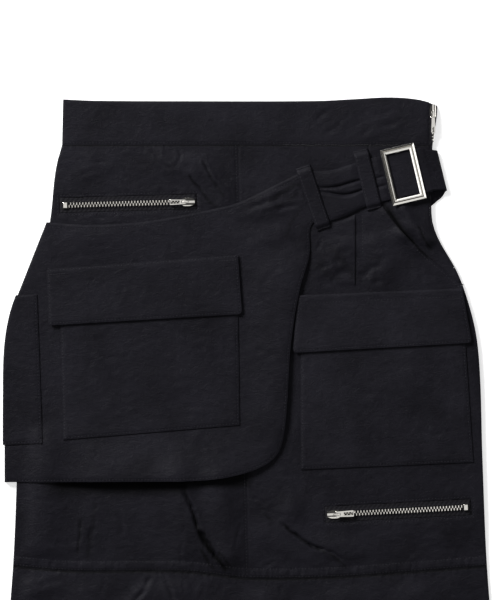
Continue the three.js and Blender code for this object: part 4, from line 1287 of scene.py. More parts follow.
@dataclass(frozen=True)
class Finishes:
    """The materials of the skirt."""

    cloth: bpy.types.Material
    # A lighter copy of the cloth: painted light for the cargo pieces
    painted_lighter_cloth: bpy.types.Material
    thread: bpy.types.Material
    tape: bpy.types.Material
    metal: bpy.types.Material

    @staticmethod
    def make() -> "Finishes":
        """Builds every material once."""
        # Painted light: a lighter copy of the same cloth, which makes up for the weaker key light on the
        # cargo pocket and flap
        painted_lighter_cloth = CrinkledNylon("crinkled_nylon_doubled", "#131218", "#201f26")
        return Finishes(
            CrinkledNylon().make(), painted_lighter_cloth.make(), SewingThread().make(),
            ZipTape().make(), PolishedNickel().make(),
        )


SEAM_HALF = 0.02
MOUTH_GAPE = 1.8
MOUTH_LIFT = 3.0
MOUTH_LIP = ((126, 272), (138, 255), (150, 242))
MOUTH_BANK = ((138, 275), (147, 261), (160, 247))
BANK_LIFT = 3.4
MOUTH_DEPTH = 5.0
HIP_TOP_Y = WAIST_SEAM_Y - SEAM_HALF
BAND_BOTTOM_Y = WAIST_SEAM_Y + SEAM_HALF
SIDE_INSET = CLOTH + GAP
SEAM_LEFT_X = -213.0
SEAM_RIGHT_X = 213.0


def seam_line(low: float, high: float, offset: float) -> list[Point]:
    """Follows the tier seam from left to right, moved up by an offset."""
    xs = np.linspace(low, high, max(2, round((high - low) / 8)) + 1)
    return list(zip(xs.tolist(), (tier_seam(xs) + offset).tolist()))


def overlay_front() -> list[Point]:
    """Draws the cut of the overlay's front, clockwise from its top left corner."""
    left = side_line(overlay_left, OVERLAY_BOTTOM_Y, OVERLAY_TOP_Y)
    return [*through(OVERLAY_TOP), *through(OVERLAY_FREE), *through(OVERLAY_ROUND)[1:], *left[:-1]]


OVERLAY_CUT = Outline.of(overlay_front())
CARGO_CUT = Outline.of(CARGO_POCKET)
CARGO_FLAP_CUT = Outline.of(rounded(CARGO_FLAP, FLAP_CORNER, (2, 3)))
FRONT_POCKET_CUT = Outline.of(FRONT_POCKET)
FRONT_FLAP_CUT = Outline.of(rounded(FRONT_FLAP, FLAP_CORNER, (2, 3)))


@dataclass
class Zip:
    """A metal zip: woven tape, two rows of teeth, a slider with its pull tab, and an end stop."""

    name: str
    x: float
    y: float
    z: float
    turn: float
    chain: float
    pull: Point
    window: Point | None = None
    climb: float = 0.0
    ahead: float = 8.0
    window_end: float = 2.0
    slider_length: float = 11.4
    slider_width: float = 7.4
    slider_height: float = 2.4
    axle_lift: float = 0.9
    tilt: float = 2.5
    chain_width: float = 4.6
    tooth_pitch: float = 2.75
    hole: Point = (8.0, 2.4)
    tape_thickness: float = 0.7
    cord_height: float = 0.35
    cord_at: float = 3.0
    cord_width: float = 0.7

    def place(self) -> Matrix:
        """Gives the matrix from the zip's own frame to the skirt's, in metres."""
        turned = Matrix.Rotation(math.radians(self.turn), 4, "Z")
        climbing = Matrix.Rotation(-math.radians(self.climb), 4, "Y")
        return Matrix.Translation(Vector((self.x, self.y, self.z)) * MM) @ (turned @ climbing)

    def hinge(self) -> Matrix:
        """Gives the matrix from the pull tab's frame to the zip's."""
        up = Matrix.Translation((0, 0, (self.slider_height + self.axle_lift) * MM))
        return up @ Matrix.Rotation(math.radians(self.tilt), 4, "Y")

    def opening(self) -> Outline:
        """Gives the outline of the window that the zip shows through."""
        length, width = self.window
        start = -self.ahead - self.window_end
        turn = Matrix.Rotation(math.radians(self.turn), 2)
        corners = (
            (start, -width / 2), (start + length, -width / 2),
            (start + length, width / 2), (start, width / 2),
        )
        return Outline.of([tuple(turn @ Vector(c) + Vector((self.x, self.y))) for c in corners])

    def finish_piece(self, bm: bmesh.types.BMesh, part: str, material: bpy.types.Material,
                     place: Matrix, body: str = "skirt") -> bpy.types.Object:
        """Puts one part of the zip in place.

        Args:
            bm: Its shape in the zip's own frame, in metres.
            part: Its name on the zip, which is also its node's.
            material: What it is made of.
            place: Where it goes.
            body: The body that it moves with.

        Returns:
            The finished part.
        """
        bmesh.ops.transform(bm, matrix=place, verts=bm.verts)
        made = new_object(f"{self.name}_{part}_finish", bm, material, smooth=False)
        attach(made, body)
        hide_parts(f"{self.name}_{part}")
        return made

    def tape(self, finishes: Finishes) -> None:
        """Weaves the tape, with a thicker cord along each row of teeth."""
        length, width = self.window[0] - 0.3, self.window[1] - 0.3
        bm = bmesh.new()
        bmesh.ops.create_grid(bm, x_segments=round(length / 2.4), y_segments=26, size=0.5)
        for vert in bm.verts:
            y = vert.co.y * width
            cord = self.cord_height * math.exp(-(((abs(y) - self.cord_at) / self.cord_width) ** 2))
            x = vert.co.x * length + length / 2 + 0.15 - self.ahead - self.window_end
            vert.co = Vector((x, y, cord - 0.12)) * MM
        made = self.finish_piece(bm, "tape", finishes.tape, self.place())
        for polygon in made.data.polygons:
            polygon.use_smooth = True
        add_modifier(made, "SOLIDIFY", thickness=self.tape_thickness * MM, offset=-1.0)

    def teeth(self, finishes: Finishes) -> None:
        """Sets two rows of teeth, each tooth gripping between two of the other row."""
        start = self.slider_length - self.ahead + 0.3
        bm = bmesh.new()
        count = int(self.chain / self.tooth_pitch)
        tooth = Matrix.Diagonal((1.05 * MM, 0.56 * self.chain_width * MM, 1.3 * MM, 1))
        for side in (-1, 1):
            for i in range(count):
                x = start + (i + 0.3 + 0.25 * (1 + side)) * self.tooth_pitch
                at = Matrix.Translation(Vector((x, side * 0.24 * self.chain_width, 0.95)) * MM)
                bmesh.ops.create_cube(bm, size=1, matrix=at @ tooth)
        bmesh.ops.bevel(
            bm, geom=bm.edges[:], offset=0.28 * MM, segments=1, profile=0.5, affect="EDGES", material=-1,
        )
        self.finish_piece(bm, "chain", finishes.metal, self.place())

    def slider(self, finishes: Finishes) -> None:
        """Casts the slider: a shield-shaped body with a bridge for the pull tab."""
        back, half = self.slider_length - self.ahead, self.slider_width / 2
        nose, heel = 0.62 * half, 0.78 * half
        outline = rounded(
            ((-self.ahead, -nose), (-self.ahead + 4, -half), (back - 2, -half), (back, -heel),
             (back, heel), (back - 2, half), (-self.ahead + 4, half), (-self.ahead, nose)), 1.2, range(8),
        )
        bm = plate(outline, (), 0.3, self.slider_height, 0.35, 2)
        slice_up(bm, 1, [share * half for share in (-0.8, -0.55, -0.25, 0.25, 0.55, 0.8)])
        for vert in bm.verts:
            if vert.co.z > 1.4 * MM:
                vert.co.z -= 1.3 * MM * (abs(vert.co.y) / MM / half) ** 2.2
        bridge = plate(
            ((-2.6, 0), (2.6, 0), (2.6, 1.8), (2.0, 2.4), (-2.0, 2.4), (-2.6, 1.8)),
            (((-1.8, 0.0), (1.8, 0.0), (1.8, 1.8), (-1.8, 1.8)),), -0.65, 0.65, 0.15, 1,
        )
        upright = Matrix.Rotation(math.radians(90), 4, "X")
        on_top = Matrix.Translation((0, 0, (self.slider_height - 0.1) * MM))
        add_to(bm, bridge, on_top @ upright)
        self.finish_piece(bm, "slider", finishes.metal, self.place())

    def tab(self, finishes: Finishes) -> None:
        """Stamps the pull tab with its window, hung on an axle through the bridge."""
        length, width = self.pull
        half, far = width / 2, length - 1
        outline = rounded(
            ((-0.6, -half + 0.5), (length, -half), (length, half), (-0.6, half - 0.5)), 1.1, range(4),
        )
        eye = ((0.7, -1.0), (3.7, -1.0), (3.7, 1.0), (0.7, 1.0))
        deep, wide = self.hole
        hole = ((far - deep, -wide / 2), (far, -wide / 2), (far, wide / 2), (far - deep, wide / 2))
        bm = plate(outline, (eye, hole), -0.45, 0.45, 0.2, 2)
        axle = Matrix.Rotation(math.radians(90), 4, "X")
        bmesh.ops.create_cone(
            bm, cap_ends=True, segments=12, radius1=0.5 * MM,
            radius2=0.5 * MM, depth=(width - 0.6) * MM, matrix=axle,
        )
        body = self.name.replace("_zip", "_pull")
        self.finish_piece(bm, "pull", finishes.metal, self.place() @ self.hinge(), body)

    def stop(self, finishes: Finishes) -> None:
        """Crimps the end stop over the last teeth."""
        start = self.slider_length - self.ahead + 0.6 + self.chain
        bm = plate(
            ((start, -2.8), (start + 4.2, -2.8), (start + 4.2, 2.8), (start, 2.8)), (), 0.3, 1.9, 0.5, 2,
        )
        self.finish_piece(bm, "stop", finishes.metal, self.place())

    def make(self, finishes: Finishes) -> None:
        """Builds the whole zip.

        Args:
            finishes: The materials.
        """
        self.teeth(finishes)
        self.slider(finishes)
        self.tab(finishes)
        if self.window:
            self.tape(finishes)
            self.stop(finishes)
        log.info("%s", self.name)


def plate(outline: Sequence[Point], holes: Sequence[Sequence[Point]], low: float, high: float,
          edge: float, segments: int) -> bmesh.types.BMesh:
    """Makes a flat plate with holes and rounded edges.

    Args:
        outline: Its outline.
        holes: Four-sided holes whose sides run along X and Y.
        low: The level of its underside.
        high: The level of its top.
        edge: How far its edges are rounded.
        segments: The steps of the round.

    Returns:
        The closed plate.
    """
    bm = bmesh.new()
    flat_face(bm, Outline.of(outline).points, low)
    for hole in holes:
        (x1, y1), (x2, y2) = hole[0], hole[2]
        for axis, place in ((0, x1), (0, x2), (1, y1), (1, y2)):
            normal = Vector((1 - axis, axis, 0))
            bmesh.ops.bisect_plane(
                bm, geom=[*bm.verts, *bm.edges, *bm.faces], dist=TOUCHING,
                plane_co=normal * place * MM, plane_no=normal,
            )
        gone = [
            f for f in bm.faces
            if x1 < f.calc_center_median().x / MM < x2 and y1 < f.calc_center_median().y / MM < y2
        ]
        bmesh.ops.delete(bm, geom=gone, context="FACES")
    raised = bmesh.ops.extrude_face_region(bm, geom=list(bm.faces))["geom"]
    for vert in [v for v in raised if isinstance(v, bmesh.types.BMVert)]:
        vert.co.z = high * MM
    bmesh.ops.recalc_face_normals(bm, faces=bm.faces)
    bmesh.ops.dissolve_limit(bm, angle_limit=math.radians(1), verts=bm.verts, edges=bm.edges)
    sharp = [e for e in bm.edges if e.is_manifold and e.calc_face_angle(0) > math.radians(50)]
    bmesh.ops.bevel(
        bm, geom=sharp, offset=edge * MM, segments=segments,
        profile=0.5, affect="EDGES", material=-1, clamp_overlap=True,
    )
    return bm


def add_to(bm: bmesh.types.BMesh, other: bmesh.types.BMesh, matrix: Matrix) -> None:
    """Adds a shape to another, put in place by a matrix, and frees it."""
    bmesh.ops.transform(other, matrix=matrix, verts=other.verts)
    spare = bpy.data.meshes.new("spare")
    other.to_mesh(spare)
    other.free()
    bm.from_mesh(spare)
    bpy.data.meshes.remove(spare)


@dataclass
class Buckle:
    """The belt buckle: a cast frame whose wide inner faces slope down to the belt, on a bar."""

    x: float = 137.4
    y: float = 305.6
    z: float = 7.9
    turn: float = 13.3
    width: float = 31.0
    height: float = 51.0
    # Steps across the rim from the outside in: distance in, and level
    rim: tuple[Point, ...] = (
        (1.7, 2.0), (0.5, 1.1), (0.5, 2.2), (0.9, 2.25), (1.2, 1.25), (0.2, 0.6),
    )
    skirt_level: float = 1.0
    bar: float = 3.0
    bar_z: float = 4.5

    def make(self, finishes: Finishes) -> None:
        """Builds the buckle.

        Args:
            finishes: The materials.
        """
        bm = bmesh.new()
        half_x, half_y = self.width / 2, self.height / 2
        middle = flat_face(bm, ((-half_x, -half_y), (half_x, -half_y), (half_x, half_y), (-half_x, half_y)))
        raised = bmesh.ops.extrude_face_region(bm, geom=[middle])["geom"]
        for vert in [v for v in raised if isinstance(v, bmesh.types.BMVert)]:
            vert.co.z = self.skirt_level * MM
        bottom = [f for f in bm.faces if all(abs(v.co.z) < TOUCHING for v in f.verts)]
        bmesh.ops.delete(bm, geom=bottom, context="FACES_ONLY")
        top = [f for f in bm.faces if all(abs(v.co.z - self.skirt_level * MM) < TOUCHING for v in f.verts)][0]
        for inward, level in self.rim:
            bmesh.ops.inset_region(bm, faces=[top], thickness=inward * MM, use_even_offset=True)
            for vert in top.verts:
                vert.co.z = level * MM
        sunk = bmesh.ops.extrude_face_region(bm, geom=[top])["geom"]
        floor = [f for f in sunk if isinstance(f, bmesh.types.BMFace)]
        for vert in [v for v in sunk if isinstance(v, bmesh.types.BMVert)]:
            vert.co.z = 0
        gone = [f for f in {*floor, top} if f.is_valid]
        bmesh.ops.delete(bm, geom=gone, context="FACES_ONLY")
        open_edges = [e for e in bm.edges if e.is_boundary]
        bmesh.ops.bridge_loops(bm, edges=open_edges)
        bmesh.ops.recalc_face_normals(bm, faces=bm.faces)
        low = self.bar_z - self.z
        bar_x, bar_y = self.bar / 2, half_y - 1
        crossbar = plate(
            ((-bar_x, -bar_y), (bar_x, -bar_y), (bar_x, bar_y), (-bar_x, bar_y)), (), low, low + 1.5, 0.5, 2,
        )
        add_to(bm, crossbar, Matrix.Identity(4))
        for side in (-1, 1):
            post = plate(((-1.4, -1.4), (1.4, -1.4), (1.4, 1.4), (-1.4, 1.4)), (), low + 0.7, 0.5, 0.2, 1)
            add_to(bm, post, Matrix.Translation((0, side * (half_y - 2.5) * MM, 0)))
        turned = Matrix.Rotation(math.radians(self.turn), 4, "Z")
        place = Matrix.Translation(Vector((self.x, self.y, self.z)) * MM) @ turned
        bmesh.ops.transform(bm, matrix=place, verts=bm.verts)
        made = new_object("buckle_frame_finish", bm, finishes.metal, smooth=False)
        add_modifier(
            made, "BEVEL", width=0.12 * MM, segments=2, limit_method="ANGLE", angle_limit=math.radians(24),
        )
        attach(made, "skirt")
        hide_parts("buckle_frame")
        log.info("buckle")


BELT = (
    (50.2, 308, 64, 261.4), (74, 309.6, 85.5, 268), (93.6, 315.6, 104.4, 277),
    (113, 321, 122.4, 282), (131, 324.1, 140, 286.2),
)
# How high the tucked belt swells from its upper edge to its lower
BELT_SWELL = ((0, 0.5), (0.06, 1.6), (0.2, 2.0), (0.5, 1.8), (0.75, 2.0), (0.93, 1.5), (1, 0.2))
# The two tucks: share along the belt, share across it
BELT_TUCKS = (
    ((0.0, 0.3), (0.15, 0.35), (0.4, 0.38), (0.55, 0.42), (0.7, 0.46)),
    ((0.0, 0.36), (0.15, 0.45), (0.35, 0.6), (0.58, 0.64), (0.7, 0.66)),
)
TUCK_DEPTH = 2.2
TUCK_WIDTH = 0.036
TAIL = (
    (120.3, 321.4, 129.2, 283.8, 6.9), (150, 328, 158, 290, 6.9), (158, 328, 167, 291, 6.1),
    (165.6, 327.4, 174.6, 291.4, 5.1), (168, 326.8, 176.8, 291, 3.3), (167.4, 326, 175.6, 290, 1.5),
    (163, 323, 170, 283, 0.6), (146, 314, 150, 272, 0.6),
    (80, 300, 84, 260, 0.6), (-85.4, 262, -85.4, 222, 0.6),
)
LOOPS = (
    ("belt_loop_inner", (47.4, 312.6), (66.6, 256.6)),
    ("belt_loop_outer", (99, 327.6), (112, 274.4)),
)


@dataclass
class Belt:
    """The belt: a tucked front end, a tail round the side and the back, and two loops over it."""

    base_z: float = 5.1
    thickness: float = 0.9
    loop_width: float = 13.2
    loop_end: float = 2.0
    loop_ramp: float = 2.6
    loop_low: float = 5.1
    loop_high: float = 7.1
    eyelet_at: tuple[float, float, float] = (165.6, 310.9, 6.4)
    eyelet_turn: float = 12.0

    def ribbon(self, name: str, node: str, centre: Callable[[float, float], Vector], along: int, across: int,
               finishes: Finishes) -> bpy.types.Object:
        """Shapes a ribbon of cloth.

        Args:
            name: The piece's name.
            node: The node that it stands for.
            centre: Gives the place of a point, from its shares along and across, in millimetres.
            along: Faces along it.
            across: Faces across it.
            finishes: The materials.

        Returns:
            The ribbon.
        """
        bm = bmesh.new()
        bmesh.ops.create_grid(bm, x_segments=along, y_segments=across, size=0.5)
        for vert in bm.verts:
            vert.co = centre(vert.co.x + 0.5, vert.co.y + 0.5) * MM
        bmesh.ops.recalc_face_normals(bm, faces=bm.faces)
        made = new_object(name, bm, finishes.cloth)
        add_modifier(made, "SOLIDIFY", thickness=self.thickness * MM, offset=0.0)
        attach(made, "skirt")
        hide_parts(node)
        log.info(name)
        return made

    def press(self, along: float) -> float:
        """Gives how much of the tucks is left by the loops and under the buckle."""
        at = np.array(along)
        inner, outer = rise(0.02, 0.24, at), rise(0.06, 0.2, np.abs(at - 0.63))
        return float((0.25 + 0.75 * inner * outer) * (1 - rise(0.72, 0.82, at)))

    def front(self, finishes: Finishes) -> None:
        """Lays the belt's tucked front from the overlay to the buckle."""
        edges = [Profile([(i, row[k]) for i, row in enumerate(BELT)]) for k in range(4)]
        swell, tucks = Profile(BELT_SWELL), [Profile(row) for row in BELT_TUCKS]

        def centre(u: float, v: float) -> Vector:
            """Gives a point of the belt from its shares along and across."""
            x1, y1, x2, y2 = (float(edge(u * (len(BELT) - 1))) for edge in edges)
            x, y = x1 + (x2 - x1) * v, y1 + (y2 - y1) * v
            crush = 0.12 * noise.noise((x / 9, y / 3.4, 41.0))
            furrows = sum(math.exp(-(((v - float(tuck(u))) / TUCK_WIDTH) ** 2)) for tuck in tucks)
            lift = (float(swell(v)) - TUCK_DEPTH * furrows) * self.press(u)
            return Vector((x, y, self.base_z + max(lift, -0.1) + crush * math.sin(math.pi * v)))

        self.ribbon(
            "belt_front_cloth", "belt_front", centre, 66, 72,
            finishes,
        )

    def tail(self, finishes: Finishes) -> None:
        """Lays the belt's other end from the buckle round the side and across the back."""
        rows = [Profile([(i, row[k]) for i, row in enumerate(TAIL)]) for k in range(5)]

        def centre(u: float, v: float) -> Vector:
            """Gives a point of the tail from its shares along and across."""
            x1, y1, x2, y2, z = (float(row(u * (len(TAIL) - 1))) for row in rows)
            v = 0.5 + (v - 0.5) * (1.055 if u < 0.17 else 1.0)
            x, y = x1 + (x2 - x1) * v, y1 + (y2 - y1) * v
            return Vector((x, y, z))

        self.ribbon(
            "belt_tail_cloth", "belt_tail", centre, 120, 20,
            finishes,
        )

    def eyelet(self, finishes: Finishes) -> None:
        """Sews the round eyelet of the tail: a rim of thread round a sunken middle, painted near-black as the
        shade of its hole.
        """
        bm = bmesh.new()
        bmesh.ops.create_circle(bm, cap_ends=True, segments=16, radius=1.9 * MM)
        for inward, level in ((0.35, 0.4), (0.3, 0.4), (0.3, 0.05)):
            middle = max(bm.faces, key=lambda f: len(f.verts))
            bmesh.ops.inset_region(bm, faces=[middle], thickness=inward * MM, use_even_offset=True)
            for vert in middle.verts:
                vert.co.z = level * MM
        # Painted shade: the middle of the eyelet is marked to be darkened nearly to black
        dark = [1.0 if v.co.to_2d().length < 1.5 * MM else 0.0 for v in bm.verts]
        turned = Matrix.Rotation(math.radians(self.eyelet_turn), 4, "Y")
        place = Matrix.Translation(Vector(self.eyelet_at) * MM) @ turned
        bmesh.ops.transform(bm, matrix=place, verts=bm.verts)
        made = new_object("belt_eyelet", bm, finishes.cloth)
        made.data.attributes.new("painted_shade", "FLOAT", "POINT").data.foreach_set("value", dark)
        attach(made, "skirt")

    def loop(self, name: str, top: Point, bottom: Point, finishes: Finishes) -> None:
        """Sews one belt loop down at both ends.

        Args:
            name: Its node.
            top: The middle of its upper end.
            bottom: The middle of its lower end.
            finishes: The materials.
        """
        length = math.dist(top, bottom)
        along = (Vector(bottom) - Vector(top)).normalized()
        aside = Vector((-along.y, along.x))

        def level(s: float) -> float:
            """Gives the loop's height at a distance from its upper end."""
            clear = min(s, length - s)
            share = float(rise(self.loop_end, self.loop_end + self.loop_ramp, np.array(clear)))
            return self.loop_low + (self.loop_high - self.loop_low) * share

        def centre(u: float, v: float) -> Vector:
            """Gives a point of the loop from its shares along and across."""
            s, w = u * length, (v - 0.5) * self.loop_width
            p = Vector(top) + along * s + aside * w
            edge = 0.3 * math.exp(-(((self.loop_width / 2 - abs(w)) / 1.1) ** 2))
            crush = 0.1 * noise.noise((p.x / 9, p.y / 3.4, 52.0))
            return Vector((p.x, p.y, level(s) - edge + crush))

        made = self.ribbon(
            f"{name}_cloth", name, centre, 44, 14, finishes,
        )
        sewn = bmesh.new()
        lift = 0.55
        for s in (0.9, length - 0.9):
            ends = [tuple(Vector(top) + along * s + aside * w) for w in (-5.6, 5.6)]
            Stitching(ends, pitch=1.7, length=1.5).sew(
                sewn, lambda x, y: np.full(np.shape(x), self.loop_low + lift),
            )
        for w in (-5.0, 5.0):
            run = [tuple(Vector(top) + along * s + aside * w) for s in np.linspace(6, length - 6, 12)]
            Stitching(run).sew(sewn, lambda x, y: np.full(np.shape(x), self.loop_high + lift - 0.1))
        stitches = new_object(f"{made.name}_stitches", sewn, finishes.thread)
        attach(stitches, "skirt")

    def make(self, finishes: Finishes) -> None:
        """Builds the belt and its loops.

        Args:
            finishes: The materials.
        """
        self.front(finishes)
        self.tail(finishes)
        self.eyelet(finishes)
        for name, top, bottom in LOOPS:
            self.loop(name, top, bottom, finishes)


BELT_CUT = Outline.of([
    (44, 310), *[(row[0], row[1] + 3) for row in BELT], (150, 331), (176, 327), (178, 290), (140, 281),
    *[(row[2], row[3] - 2) for row in reversed(BELT)], (58, 256),
])

UPPER_ZIP = Zip("upper_zip", -57.7, 280.9, 3.9, 181.6, 102.3, (14.6, 5.2), (123.5, 13.6))
LOWER_ZIP = Zip(
    "lower_zip", 77.4, 0.3, float(Lay.prop(np.array(0.3))) + 2.4, 3.0, 110.6, (16.0, 6.0), (131.8, 14.6),
)
SIDE_ZIP = Zip(
    "side_zip", 164.6, 360.5, float(Lay.prop(np.array(360.5))) + 2.4, -90.0, 24.0, (17.8, 3.8), climb=2.2,
    slider_width=6.0, chain_width=2.4, hole=(4.2, 1.3),
)
SIDE_ZIP_END_Y = 222.0
SIDE_ZIP_FRONT_X = 161.0


def back_top(x: Array, y: Array) -> Array:
    """Gives the upper face of the back, which the front never sinks into."""
    return Lay.back(x, y) + CLOTH


def puckers(x: Array, y: Array, seed: float) -> Array:
    """Gives the small upright ripples that a seam draws into the cloth."""
    return noise_at(x, y, 3.1, 30, seed) + 0.5 * noise_at(x, y, 1.7, 22, seed + 1)


def painted_shadow_under_hem(x: Array, y: Array) -> Array:
    """Gives the painted shadow on the hip below the overlay's hem: how far the colour is darkened there, deep
    on the left and thin further right.
    """
    below = OVERLAY_BOTTOM_Y + 1.5 - y
    deep = rise(-190, -168, x) * (1 - rise(-58, -55, x))
    thin = rise(-58, -55, x) * (1 - rise(-6, 6, x))
    covered = rise(-10, -6, below)
    return covered * (0.95 * deep * (1 - rise(3, 19, below)) + 0.8 * thin * (1 - rise(1, 7, below - 2)))


def seam_shade() -> tuple[PaintedShade, ...]:
    """Gives the thin lines of painted shade on the hip along the waistband's seam and along the tier's."""
    waist = ((-195, HIP_TOP_Y - 0.5), (165, HIP_TOP_Y - 0.5))
    return PaintedShade(waist, 0.9, 0.85, True), PaintedShade(tuple(seam_line(-213, 213, 0.4)), 0.8, 0.7, True)


def hip_puckers(x: Array, y: Array) -> Array:
    """Gives the ripples of the hip under the waistband's seam and between the rows over the tier's."""
    over = y - tier_seam(x)
    band = rise(0.5, 2.5, over) * (1 - rise(7.5, 9.5, over))
    by_waist = np.exp(-(((HIP_TOP_Y - y) / 6) ** 2)) * rise(0.4, 0.7, 0.5 + noise_at(x, y, 28, 60, 71.0))
    return band * (0.35 + 0.42 * puckers(x, y, 72.0)) + 0.5 * by_waist * puckers(x, y, 75.0)


def tier_puckers(x: Array, y: Array) -> Array:
    """Gives the ripples of the tier under its seam."""
    under = tier_seam(x) - y
    return 0.45 * np.exp(-((under / 7) ** 2)) * puckers(x, y, 78.0)


class SkirtBody:
    """The waistband, the hip and the tier, front and back."""

    def waist(self) -> list[Cut]:
        """Cuts the waistband.

        Returns:
            Its front and its back.
        """
        left = WAIST_TOP[0][0] + GAP
        xs = np.linspace(left, SIDE_ZIP_FRONT_X, 40)
        top = list(zip(xs.tolist(), waist_top(xs).tolist()))
        low_left = (float(left_side(BAND_BOTTOM_Y)), BAND_BOTTOM_Y)
        edge = Profile([(BAND_BOTTOM_Y, low_left[0]), (top[0][1], left)])
        front = Cut(
            "waistband_front_cloth", "waistband_front",
            Outline.of([low_left, (SIDE_ZIP_FRONT_X, BAND_BOTTOM_Y), *reversed(top)]),
            Lay.band, ("waistband_back",),
            creases=WAIST_CREASES, walls=((edge, Lay.back),), seed=11.0, crinkle=0.2,
            stitching=(Stitching([(-167, BAND_BOTTOM_Y + 1.7), (160, BAND_BOTTOM_Y + 1.7)]),),
        )
        xs = np.linspace(left + SIDE_INSET, float(right_side(366)), 30)
        top = list(zip(xs.tolist(), waist_top(xs).tolist()))
        side = side_line(right_side, BAND_BOTTOM_Y, 366)
        back = Cut(
            "waistband_back_cloth", "waistband_back",
            Outline.of([(left + SIDE_INSET, BAND_BOTTOM_Y), *side, *reversed(top)]), Lay.back, ("floor",),
            pitch=Pitch.HIDDEN, crinkle=0.0, rings=(), seed=12.0,
        )
        return [front, back]

    def hip_left(self) -> Cut:
        """Cuts the hip's left front panel."""
        low_y = float(tier_seam(SEAM_LEFT_X)) + SEAM_HALF
        outline = [
            *side_line(left_side, low_y, HIP_TOP_Y)[::-1],
            *seam_line(-205, centre_x(TIER_SEAM_Y) - SEAM_HALF, SEAM_HALF),
            (centre_x(HIP_TOP_Y) - SEAM_HALF, HIP_TOP_Y),
        ]
        centre_row = [(centre_x(y) - 2.0, y) for y in (HIP_TOP_Y - 1, 240)]
        low_centre_row = [(centre_x(y) - 2.0, y) for y in (36, TIER_SEAM_Y - 4)]
        around = Outline.of(beside(UPPER_ZIP.opening().closed(), -1.9)[:-1])
        return Cut(
            "hip_front_left_cloth", "hip_front_left", Outline.of(outline), Lay.hip, ("hip_back",),
            creases=HIP_CREASES, covers=(OVERLAY_CUT,), windows=(UPPER_ZIP.opening(),), bed=back_top,
            step=hip_puckers, roll=0.32, painted_shade=(*HIP_PAINTED_SHADE, *seam_shade()), painted_shadow=painted_shadow_under_hem,
            walls=((left_side, Lay.back),), hidden_y=((36, 256),), seed=21.0, pitch=Pitch.CREASED,
            stitching=(
                Stitching(centre_row), Stitching(low_centre_row), Stitching(list(around.closed())),
                *tier_rows(-212, -2),
            ),
        )

    def hip_right(self) -> Cut:
        """Cuts the hip's right front panel."""
        low_y = float(tier_seam(SEAM_RIGHT_X)) + SEAM_HALF
        outline = [
            (centre_x(HIP_TOP_Y) + SEAM_HALF, HIP_TOP_Y),
            *seam_line(centre_x(TIER_SEAM_Y) + SEAM_HALF, 205, SEAM_HALF),
            *side_line(right_side, low_y, HAND_POCKET_END_Y - 0.1),
            *pocket_mouth(MOUTH_GAPE)[::-1],
        ]
        pocket_row = [place for place in beside(pocket_mouth(MOUTH_GAPE)[::-1], 2.0) if place[1] < 240]
        around = Outline.of(beside(LOWER_ZIP.opening().closed(), -1.9)[:-1])

        def tuck(x: Array, y: Array) -> Array:
            """Raises the cloth on one side of the tuck sewn into the panel."""
            down = rise(204, 210, y) * (1 - rise(270, 282, y))
            left = np.where(x < 94.5, np.exp(-(((94.5 - x) / 16) ** 2)), 0.0)
            gape = np.exp(-((distance_to([MOUTH_LIP], x, y) / 9) ** 2))
            return 1.1 * down * left + MOUTH_LIFT * gape + hip_puckers(x, y)

        return Cut(
            "hip_front_right_cloth", "hip_front_right", Outline.of(outline), Lay.hip, ("hip_back",),
            creases=HIP_CREASES, covers=(OVERLAY_CUT, CARGO_CUT, CARGO_FLAP_CUT, BELT_CUT),
            windows=(LOWER_ZIP.opening(),), walls=((right_side, Lay.back),), bed=back_top, roll=0.32,
            hidden_y=((50, 196),), extra_x=(94.2, 94.6), seed=22.0, step=tuck, pitch=Pitch.CREASED,
            painted_shade=(*HIP_PAINTED_SHADE, *MOUTH_PAINTED_SHADE, *seam_shade()), painted_shadow=painted_shadow_under_hem,
            stitching=(
                Stitching(pocket_row), Stitching(list(around.closed())), *tier_rows(1, 212),
                Stitching([(101, 268), (101.2, 235)]),
            ),
        )

    def bearer(self) -> Cut:
        """Cuts the hip piece that shows behind the hand pocket."""
        outline = [
            *pocket_mouth(MOUTH_GAPE + MOUTH_DEPTH),
            *side_line(right_side, HAND_POCKET_END_Y + GAP, SIDE_ZIP_END_Y - GAP),
            *side_line(right_side, SIDE_ZIP_END_Y - GAP, HIP_TOP_Y, -SIDE_INSET),
        ]
        return Cut(
            "hip_pocket_bearer_cloth", "hip_pocket_bearer", Outline.of(outline), Lay.bearer, ("hip_back",),
            creases=BEARER_CREASES, covers=(BELT_CUT,), seed=23.0, bed=back_top, pitch=Pitch.CREASED,
            painted_shade=(*BEARER_PAINTED_SHADE, *seam_shade()),
            step=lambda x, y: BANK_LIFT * np.exp(-((distance_to([MOUTH_BANK], x, y) / 5.5) ** 2)),
        )

    def backs(self) -> list[Cut]:
        """Cuts the back of the hip and of the tier.

        Returns:
            The two pieces that the skirt lies on.
        """
        left_y, right_y = float(tier_seam(SEAM_LEFT_X)), float(tier_seam(SEAM_RIGHT_X))
        low, high = SEAM_LEFT_X + 1 + SIDE_INSET, SEAM_RIGHT_X - 1 - SIDE_INSET
        hip = Outline.of([
            *side_line(left_side, left_y + GAP, HIP_TOP_Y, SIDE_INSET)[::-1],
            *seam_line(low, high, SEAM_HALF),
            *side_line(right_side, right_y + GAP, HIP_TOP_Y, -SIDE_INSET),
        ])
        tier = Outline.of([
            *side_line(left_side, HEM_Y, left_y - GAP, SIDE_INSET),
            *seam_line(low, high, -SEAM_HALF),
            *side_line(right_side, HEM_Y, right_y - GAP, -SIDE_INSET)[::-1],
        ])
        plain = {"pitch": Pitch.HIDDEN, "crinkle": 0.0, "rings": (), "roll": 0.0}
        return [
            Cut("hip_back_cloth", "hip_back", hip, Lay.back, ("overlay",), seed=31.0, **plain),
            Cut("tier_back_cloth", "tier_back", tier, Lay.back, ("floor",), seed=32.0, **plain),
        ]

